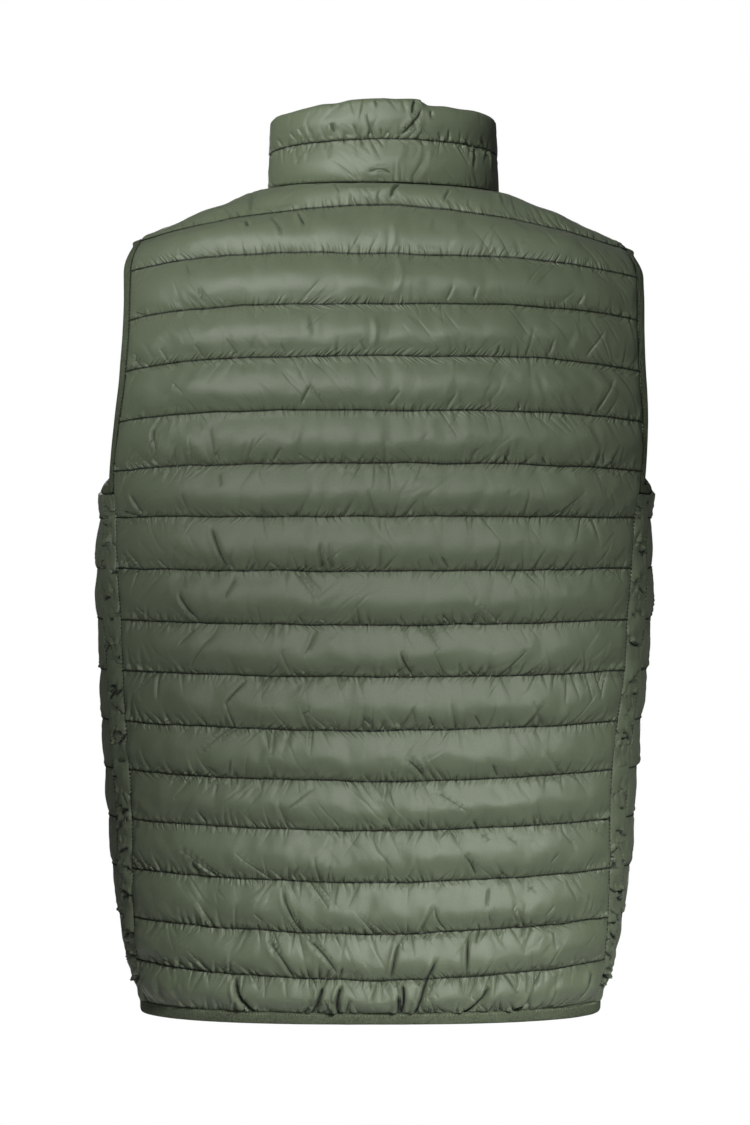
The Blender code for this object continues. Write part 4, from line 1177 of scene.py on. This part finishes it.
def crease_line():
    """Painted shadow for the black bottom of a sharp crease, and the valley round it."""
    group, given, result = node_group(
        "crease_line", [("Side", "NodeSocketFloat", 9.0), ("Depth", "NodeSocketFloat", 0.0)],
        [("Painted crease shadow", "NodeSocketFloat"), ("Valley", "NodeSocketFloat")])
    aside = maths(group, "ABSOLUTE", given.outputs["Side"])
    depth = given.outputs["Depth"]
    squared = maths(group, "MULTIPLY", depth, depth)
    core = maths(group, "MULTIPLY_ADD", squared, 0.9, 0.05)
    wide = maths(group, "MULTIPLY_ADD", squared, 1.9, 0.45)
    for name, inner, outer in (("Painted crease shadow", core, wide), ("Valley", 0.0, 1.7)):
        shape = smooth_step(group, aside, inner, outer, 1.0, 0.0)
        group.links.new(maths(group, "MULTIPLY", shape, depth), result.inputs[name])
    return group


def fine_weave():
    """Bump of plain weave and the slight unevenness of thin nylon."""
    group, given, result = node_group(
        "fine_weave", [("Vector", "NodeSocketVector", None), ("Threads", "NodeSocketFloat", 1500.0),
                       ("Depth", "NodeSocketFloat", 0.0001)],
        [("Normal", "NodeSocketVector")])
    place = given.outputs["Vector"]
    split = add_node(group, "ShaderNodeSeparateXYZ", [("Vector", place)])
    waves = [maths(group, "SINE", maths(group, "MULTIPLY", split.outputs[axis],
                                        given.outputs["Threads"]))
             for axis in ("X", "Y")]
    weave = maths(group, "MULTIPLY", *waves)
    height = maths(group, "MULTIPLY_ADD", noise(group, place, 420.0, 2.0), 2.2, weave)
    bump = add_node(group, "ShaderNodeBump", [
        ("Strength", 1.0), ("Distance", given.outputs["Depth"]), ("Height", height)])
    group.links.new(bump.outputs["Normal"], result.inputs["Normal"])
    return group


def mottle_and_painted_shade():
    """A colour that varies a little from place to place, with painted shade beside a sewn line and
    in a crease.
    """
    group, given, result = node_group(
        "mottle_and_painted_shade", [("Color", "NodeSocketColor", (0.1, 0.1, 0.1, 1.0)),
                        ("Vector", "NodeSocketVector", None),
                        ("Away", "NodeSocketFloat", 1.0), ("Amount", "NodeSocketFloat", 0.1),
                        ("Painted crease shadow", "NodeSocketFloat", 0.0)],
        [("Color", "NodeSocketColor")])
    place, amount = given.outputs["Vector"], given.outputs["Amount"]
    broad = maths(group, "SUBTRACT", noise(group, place, 26.0, 3.0), 0.5)
    fine = maths(group, "SUBTRACT", noise(group, place, 620.0, 1.0), 0.5)
    grain = maths(group, "MULTIPLY_ADD", fine, maths(group, "MULTIPLY", amount, 1.6), 1.0)
    varied = maths(group, "MULTIPLY_ADD", broad, amount, grain)
    # painted shade: darker towards a sewn line, where its groove lies in shadow
    near = smooth_step(group, given.outputs["Away"], 0.3, 1.15, 0.22, 1.0)
    # painted shadow: near black at the bottom of a sharp crease
    crease_shadow = maths(group, "MULTIPLY_ADD", given.outputs["Painted crease shadow"], -0.98, 1.0)
    scale = maths(group, "MULTIPLY", varied, maths(group, "MULTIPLY", near, crease_shadow))
    mixed = add_node(group, "ShaderNodeVectorMath", [(0, given.outputs["Color"])],
                     operation="SCALE")
    group.links.new(scale, mixed.inputs["Scale"])
    group.links.new(mixed.outputs[0], result.inputs["Color"])
    return group


def use_group(tree, group, links):
    return add_node(tree, "ShaderNodeGroup", links, node_tree=group)


def nylon(name, colour, weave, mottle_and_shade, wrinkles, crease):
    """Thin nylon with a soft sheen, with painted shade at its sewn lines and in its creases."""
    material, shader = new_material(name, colour, NYLON_ROUGHNESS)
    shader.inputs["Specular IOR Level"].default_value = 0.55
    shader.inputs["Sheen Weight"].default_value = 0.04
    shader.inputs["Sheen Roughness"].default_value = 0.5
    tree = material.node_tree
    place = add_node(tree, "ShaderNodeUVMap", uv_map="cloth").outputs["UV"]
    away, side, depth = (
        add_node(tree, "ShaderNodeAttribute", attribute_name=label).outputs["Fac"]
        for label in ("from_line", "slit_side", "slit_depth"))
    line = use_group(tree, crease, [("Side", side), ("Depth", depth)])
    tint = use_group(tree, mottle_and_shade, [("Color", colour), ("Vector", place), ("Away", away),
                                    ("Amount", 0.16), ("Painted crease shadow", line.outputs["Painted crease shadow"])])
    tree.links.new(tint.outputs["Color"], shader.inputs["Base Color"])
    tree.links.new(maths(tree, "MULTIPLY_ADD", line.outputs["Painted crease shadow"], 0.5, NYLON_ROUGHNESS),
                   shader.inputs["Roughness"])
    bump = use_group(tree, weave, [("Vector", place), ("Threads", 9000.0), ("Depth", 0.00003)])
    folds = use_group(tree, wrinkles, [("Vector", place), ("Away", away), ("Reach", 7.5),
                                       ("Valley", line.outputs["Valley"])])
    raised = add_node(tree, "ShaderNodeBump", [
        ("Strength", 1.0), ("Distance", WRINKLE_DEPTH), ("Height", folds.outputs["Height"]),
        ("Normal", bump.outputs["Normal"])])
    tree.links.new(raised.outputs["Normal"], shader.inputs["Normal"])
    return material


def knit(name, colour, weave, mottle_and_shade, pitch, depth):
    """Matt stretch cloth for the bindings, tapes and threads."""
    material, shader = new_material(name, colour, 0.78)
    shader.inputs["Specular IOR Level"].default_value = 0.3
    tree = material.node_tree
    place = add_node(tree, "ShaderNodeTexCoord").outputs["Object"]
    tint = use_group(tree, mottle_and_shade, [("Color", colour), ("Vector", place), ("Away", 5.0),
                                    ("Amount", 0.8)])
    tree.links.new(tint.outputs["Color"], shader.inputs["Base Color"])
    bump = use_group(tree, weave, [("Vector", place), ("Threads", 2 * math.pi / pitch),
                                   ("Depth", depth)])
    tree.links.new(bump.outputs["Normal"], shader.inputs["Normal"])
    return material


def metal(name, colour):
    material, shader = new_material(name, colour, 0.5, 0.35)
    shader.inputs["Coat Weight"].default_value = 0.2
    return material


CLOTH_GREEN = (0.110, 0.137, 0.083, 1.0)
TRIM_GREEN = (0.074, 0.091, 0.055, 1.0)
THREAD_GREEN = (0.150, 0.172, 0.110, 1.0)
# near black, not the thread's own colour: painted shade of the stitch holes and of the groove the
# stitches sit in
PAINTED_SHADE_THREAD = (0.018, 0.022, 0.014, 1.0)
ZIP_GREY = (0.16, 0.17, 0.155, 1.0)
NYLON_ROUGHNESS = 0.48
WRINKLE_DEPTH = 0.0016
FLOOR_RADIUS = 0.95
FLOOR_Z = -0.95


# ---------------------------------------------------------------- camera, light and floor

def set_camera():
    data = bpy.data.cameras.new("camera")
    data.lens = LENS
    data.sensor_width = 36.0
    camera = bpy.data.objects.new("camera", data)
    camera.location = (0.0, CAMERA_Y, CAMERA_Z)
    camera.rotation_euler = (math.radians(90.0), 0.0, math.radians(180.0))
    bpy.context.scene.collection.objects.link(camera)
    bpy.context.scene.camera = camera


def add_light(name, location, target, size, watts, spread):
    data = bpy.data.lights.new(name, "AREA")
    data.shape = "RECTANGLE"
    data.size, data.size_y = size
    data.energy = watts
    data.spread = math.radians(spread)
    light = bpy.data.objects.new(name, data)
    light.location = location
    aim = Vector(target) - Vector(location)
    light.rotation_euler = aim.to_track_quat("-Z", "Y").to_euler()
    bpy.context.scene.collection.objects.link(light)


def set_light():
    world = bpy.data.worlds.new("studio")
    bpy.context.scene.world = world
    world.use_nodes = True
    tree = world.node_tree
    soft = tree.nodes["Background"]
    soft.inputs["Color"].default_value = (1.0, 1.0, 1.0, 1.0)
    soft.inputs["Strength"].default_value = 0.08
    white = add_node(tree, "ShaderNodeBackground", [("Color", (1.0, 1.0, 1.0, 1.0)),
                                                    ("Strength", 1.0)])
    path = add_node(tree, "ShaderNodeLightPath")
    mix = add_node(tree, "ShaderNodeMixShader", [(0, path.outputs["Is Camera Ray"]),
                                                 (1, soft.outputs[0]), (2, white.outputs[0])])
    tree.links.new(mix.outputs[0], tree.nodes["World Output"].inputs["Surface"])
    for name, place, target, size, watts, spread in (
            ("key_high", (1.15, 2.4, 0.95), (0.06, 0.1, 0.06), (0.6, 0.6), 1.45, 15.0),
            ("key_low", (-0.85, 2.3, 0.7), (-0.06, 0.1, -0.78), (0.6, 0.6), 1.5, 14.5),
            ("back_fill", (0.3, 3.2, 0.6), (0.0, 0.0, -0.3), (1.6, 1.2), 4.5, 120.0),
            ("front_key", (0.25, -3.0, 0.2), (0.0, 0.0, -0.3), (1.0, 1.0), 25.0, 120.0),
            ("front_fill", (-0.3, -3.0, -0.8), (0.0, 0.0, -0.35), (1.0, 1.0), 16.0, 120.0)):
        add_light(name, place, target, size, watts, spread)
    bpy.context.scene.view_settings.view_transform = "Standard"


def add_floor():
    bm = bmesh.new()
    bmesh.ops.create_circle(bm, cap_ends=True, segments=96, radius=FLOOR_RADIUS)
    bmesh.ops.translate(bm, verts=bm.verts, vec=(0.0, 0.0, FLOOR_Z))
    mesh = bpy.data.meshes.new("floor")
    bm.to_mesh(mesh)
    bm.free()
    material, _ = new_material("pale_floor", (0.9, 0.9, 0.9, 1.0), 0.8)
    mesh.materials.append(material)
    floor = bpy.data.objects.new("floor", mesh)
    bpy.context.scene.collection.objects.link(floor)


# ---------------------------------------------------------------- bindings

# (out, up): middle and half size of each binding's rounded section
ARMHOLE_RING = ((4.35, -0.85), (3.95, 2.15))
HEM_RING = ((4.5, -0.95), (5.1, 2.4))
HEM_RING_DEPTH = 9.6
HEM_STITCH_DROP = 1.9

# stitches: half sizes along, across and outwards, and how far they stand above the cloth
QUILT_STITCH = (0.6, 0.72, 0.5)
GUSSET_STITCH = (1.05, 0.65, 0.5)
BINDING_STITCH = (0.95, 0.5, 0.45)
QUILT_LIFT = 0.8
GUSSET_LIFT = 0.4
ARMHOLE_LIFT = 1.1
HEM_LIFT = 1.35

SLIDER_BOTTOM = -16.3
TOOTH_PITCH = 1.3
TOOTH_SHIFT = 0.75             # to the left and right in turn
TOOTH_SIZES = (0.67, 2.25, 1.0)


def tube(bm, rings, closed):
    """A tube through rings of points, (stations, points, 3), welded round and along."""
    rings = np.concatenate([rings, rings[:, :1]], axis=1)
    if closed:
        rings = np.concatenate([rings, rings[:1]])
    grid_of(bm, rings)
    bmesh.ops.remove_doubles(bm, verts=bm.verts, dist=1e-6)
    if not closed:
        bmesh.ops.holes_fill(bm, edges=[e for e in bm.edges if e.is_boundary], sides=0)


def rounded_ring(count, middle, half, power=0.62):
    """(out, up) pairs of a rounded rectangle, once round."""
    turn = np.arange(count) * 2 * math.pi / count
    wave = np.column_stack([np.cos(turn), np.sin(turn)])
    return np.array(middle) + np.array(half) * np.sign(wave) * np.abs(wave) ** power


def evened(points, normals, step, closed):
    """The path resampled at even steps, with its normals and directions."""
    if closed:
        points = np.concatenate([points, points[:1]])
        normals = np.concatenate([normals, normals[:1]])
    lengths = lengths_along(points)
    places = np.linspace(0.0, lengths[-1], int(lengths[-1] / step) + 1)
    if closed:
        places = places[:-1]
    points, normals = (np.stack([np.interp(places, lengths, values[:, k]) for k in range(3)], 1)
                       for values in (points, normals))
    normals /= np.linalg.norm(normals, axis=1)[:, None]
    if closed:
        run = np.roll(points, -3, axis=0) - np.roll(points, 3, axis=0)
    else:
        run = np.gradient(points, axis=0)
    return points, normals, run / np.linalg.norm(run, axis=1)[:, None], places


def rounded_off(values, times):
    """Values round a closed path, evened out with their neighbours."""
    for _ in range(times):
        values = (np.roll(values, 1, axis=0) + 2 * values + np.roll(values, -1, axis=0)) / 4
    return values


def armhole_path():
    """Round the left armhole's edge: down the back, along the gusset and up the front."""
    back = [(BACK_PANEL, line, 1.0) for line in np.arange(0.0, UNDERARM_LINE, 0.1)]
    side = [(SIDE_PANEL, UNDERARM_LINE, across) for across in np.linspace(0.0, 1.0, 12)[1:-1]]
    front = [(FRONT_PANEL, line, 1.0) for line in np.arange(0.1, UNDERARM_LINE, 0.1)[::-1]]
    points = [panel.row(line, np.array([across]))[0] for panel, line, across in back + side + front]
    normals = [normals_along(panel, line, np.array([across]))[0]
               for panel, line, across in back + side + front]
    return np.array(points), np.array(normals)


def add_armhole_binding(name, trim, thread, side, seed):
    rng = np.random.default_rng(seed)
    points, normals, run, places = evened(*armhole_path(), 2.0, closed=True)
    points, normals, run = (rounded_off(values, 3) for values in (points, normals, run))
    inwards = np.cross(run, normals)
    inwards /= np.linalg.norm(inwards, axis=1)[:, None]
    ring = rounded_ring(14, *ARMHOLE_RING)
    twist = 0.10 * noise_row(places, 26.0, rng)[:, None]
    fuller = 1 + 0.05 * noise_row(places, 9.0, rng)[:, None]
    reach, rise = ring[None, :, 0], ring[None, :, 1] * fuller
    rise = rise + twist * (reach - ARMHOLE_RING[0][0])
    rings = (points[:, None] + inwards[:, None] * reach[..., None]
             + normals[:, None] * rise[..., None])
    bm = bmesh.new()
    tube(bm, settle(rings * side_factor(side)), closed=True)
    strip = finished("elastic_armhole_" + name, bm, trim)
    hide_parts("armhole_binding_" + name)
    seam = points + inwards * 0.5 + normals * ARMHOLE_LIFT
    stitches = sew("stitches_armhole_" + name, [(seam, normals)], thread, 3.1, side,
                   BINDING_STITCH)


def hem_path():
    """The body's bottom edge from the zip round the back to the zip, with its normals."""
    stretches = [(FRONT_PANEL, np.linspace(0.0, 1.0, 60), 1),
                 (SIDE_PANEL, np.linspace(1.0, 0.0, 14)[1:-1], 1),
                 (BACK_PANEL, np.linspace(1.0, -1.0, 140), 1),
                 (SIDE_PANEL, np.linspace(0.0, 1.0, 14)[1:-1], -1),
                 (FRONT_PANEL, np.linspace(1.0, 0.0, 60), -1)]
    points, normals = [], []
    for panel, across, side in stretches:
        points.extend(panel.row(LAST_LINE, across) * side_factor(side))
        normals.extend(normals_along(panel, LAST_LINE, across) * side_factor(side))
    points, normals = np.array(points), np.array(normals)
    normals[:, 2] = 0
    normals[0] = normals[-1] = (0.0, -1.0, 0.0)
    points[0, 0], points[-1, 0] = ZIP_OPENING, -ZIP_OPENING
    return points, normals / np.linalg.norm(normals, axis=1)[:, None]


def add_hem_binding(trim, thread, seed):
    rng = np.random.default_rng(seed)
    points, normals, _, places = evened(*hem_path(), 2.4, closed=False)
    ring = rounded_ring(16, *HEM_RING)
    height = (points[:, 2] - HEM_BINDING_Z)[:, None] / HEM_RING_DEPTH
    wave = 0.35 * noise_row(places, 14.0, rng) + 0.25 * noise_row(places, 6.0, rng)
    wave = wave[:, None]
    drop = ring[None, :, 0] * height
    rise = ring[None, :, 1] + wave
    rings = points[:, None] + normals[:, None] * rise[..., None]
    rings[..., 2] -= drop
    bm = bmesh.new()
    tube(bm, settle(rings), closed=False)
    strip = finished("elastic_hem", bm, trim)
    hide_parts("hem_binding")
    seam = points + normals * (HEM_LIFT + wave)
    seam[:, 2] -= HEM_STITCH_DROP
    stitches = sew("stitches_hem", [(seam, normals)], thread, 2.6)


# ---------------------------------------------------------------- threads and teeth

def copies(bm, shape, places):
    """Copies of a mesh, each moved by its own matrix."""
    for _ in places:
        bm.from_mesh(shape)
    count = len(shape.vertices)
    for i, vertex in enumerate(bm.verts):
        vertex.co = places[i // count] @ vertex.co


def placed(point, along_dir, out_dir, sizes):
    """A matrix that sets a unit shape at a point, stretched along, across and outwards."""
    across_dir = np.cross(out_dir, along_dir)
    matrix = np.eye(4)
    for k, (direction, size) in enumerate(zip((along_dir, across_dir, out_dir), sizes)):
        matrix[:3, k] = direction * size * MM
    matrix[:3, 3] = point * MM
    return Matrix(matrix.tolist())


def sew(name, runs, thread, pitch, side=1, sizes=QUILT_STITCH):
    """Stitches along paths, each given as points and the cloth's normals there."""
    bm = bmesh.new()
    bmesh.ops.create_icosphere(bm, subdivisions=1, radius=1.0)
    shape = bpy.data.meshes.new("stitch")
    bm.to_mesh(shape)
    bm.clear()
    matrices = []
    for points, normals in runs:
        points, normals, run, _ = evened(points, normals, pitch, closed=False)
        mirror = side_factor(side)
        hung = settle(points * mirror)
        matrices += [placed(point, direction, out, sizes)
                     for point, direction, out in zip(hung, run * mirror, normals * mirror)]
    copies(bm, shape, matrices)
    bpy.data.meshes.remove(shape)
    return finished(name, bm, thread, 180.0)


def quilt_runs(cloth):
    """The sewn lines of a panel."""
    rows = [i for i in np.flatnonzero(channel_share(cloth)[1] < 1e-6)
            if 0 < i < len(cloth.lines) - 1]
    return [(cloth.base[i] + cloth.normals[i] * QUILT_LIFT, cloth.normals[i]) for i in rows]


def gusset_runs(cloth):
    """The sewn edges of a gusset."""
    return [(cloth.base[:, i] + cloth.normals[:, i] * GUSSET_LIFT, cloth.normals[:, i])
            for i in (0, len(cloth.places) - 1)]


def zip_path(top_share):
    """(y, z) up the closed zip from the hem to a share of the collar's height."""
    path = [(-float(FRONT["depth"](LAST_LINE)), HEM_BINDING_Z)]
    path += [(-float(FRONT["depth"](line)), float(FRONT["z_inner"](line)))
             for line in np.arange(LAST_LINE, NECK_FRONT_LINE + 0.3, -0.5)]
    path += [tuple(front_row(NECK_FRONT_LINE, [0.0])[0][1:])]
    base, top = collar_row(0.0, [COLLAR_END])[0], collar_row(1.0, [COLLAR_END])[0]
    path += [tuple((base + (top - base) * share)[1:]) for share in (0.12, top_share)]
    return np.array(path)


def add_teeth(material):
    """The closed teeth, from the hem up to the slider."""
    base, top = collar_row(0.0, [COLLAR_END])[0], collar_row(1.0, [COLLAR_END])[0]
    path = zip_path((SLIDER_BOTTOM - base[2]) / (top[2] - base[2]))
    points = np.column_stack([np.zeros(len(path)), path])
    normals = np.tile([0.0, -1.0, 0.0], (len(points), 1))
    points, _, run, _ = evened(points, normals, TOOTH_PITCH, closed=False)
    out = np.cross(run, (1.0, 0.0, 0.0))
    out *= np.sign(-out[:, 1:2])
    points = points - out * WALL / 2
    points[:, 0] += np.where(np.arange(len(points)) % 2, TOOTH_SHIFT, -TOOTH_SHIFT)
    bm = bmesh.new()
    bmesh.ops.create_cube(bm, size=2.0)
    bmesh.ops.bevel(bm, geom=bm.edges[:], offset=0.3, segments=1, profile=0.5, affect="EDGES",
                    material=-1)
    shape = bpy.data.meshes.new("tooth")
    bm.to_mesh(shape)
    bm.clear()
    hung = settle(points)
    copies(bm, shape, [placed(point, direction, up, TOOTH_SIZES)
                       for point, direction, up in zip(hung, run, out)])
    bpy.data.meshes.remove(shape)
    teeth = finished("zip_teeth", bm, material, 30.0)
    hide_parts("zip_chain")


def restyle(material, *nodes):
    for name in nodes:
        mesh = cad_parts[name].data
        mesh.materials.clear()
        mesh.materials.append(material)


# ---------------------------------------------------------------- the whole vest

def main():
    weave, mottle_and_shade = fine_weave(), mottle_and_painted_shade()
    nylon_cloth = nylon("quilted_nylon", CLOTH_GREEN, weave, mottle_and_shade, sewn_wrinkles(),
                        crease_line())
    trim = knit("elastic_binding", TRIM_GREEN, weave, mottle_and_shade, 0.0009, 0.00012)
    thread = knit("thread", THREAD_GREEN, weave, mottle_and_shade, 0.0006, 0.00005)
    # quilt, gusset and armhole stitches get the near-black thread: painted shade of their groove
    # and holes
    painted_shade_thread = knit("painted_shade_thread", PAINTED_SHADE_THREAD, weave, mottle_and_shade, 0.0006, 0.00005)
    zip_metal = metal("zip_metal", ZIP_GREY)
    piece, cloth = make_panel("quilted_back", BACK_PANEL, ["back"], nylon_cloth, 11, 6.0,
                              creases=BACK_CREASES)
    sew("stitches_back", quilt_runs(cloth), painted_shade_thread, 2.05)
    for name, side, seed in (("left", 1, 31), ("right", -1, 51)):
        piece, cloth = make_panel("quilted_front_" + name, FRONT_PANEL, ["front_" + name],
                                  nylon_cloth, seed, 8.0, side, column_step=2.4, count=16)
        sew("stitches_front_" + name, quilt_runs(cloth), painted_shade_thread, 2.2,
                                 side)
        piece, cloth = make_panel("quilted_gusset_" + name, SIDE_PANEL, ["side_" + name],
                                  nylon_cloth, seed + 5, 8.0, side, column_step=1.8, count=16)
        sew("stitches_gusset_" + name, gusset_runs(cloth), painted_shade_thread, 3.3,
                                 side, GUSSET_STITCH)
        add_armhole_binding(name, trim, painted_shade_thread, side, seed + 9)
    piece, cloth = make_panel("quilted_collar", COLLAR_PANEL, ["collar"], nylon_cloth, 71, 0.5,
                              creases=COLLAR_CREASES, column_step=1.6)
    sew("stitches_collar", quilt_runs(cloth), painted_shade_thread, 2.2)
    add_hem_binding(trim, thread, 83)
    add_teeth(zip_metal)
    restyle(trim, "zip_tape_left", "zip_tape_right")
    restyle(zip_metal, "zip_slider", "zip_tab")
    set_camera()
    set_light()
    add_floor()


main()
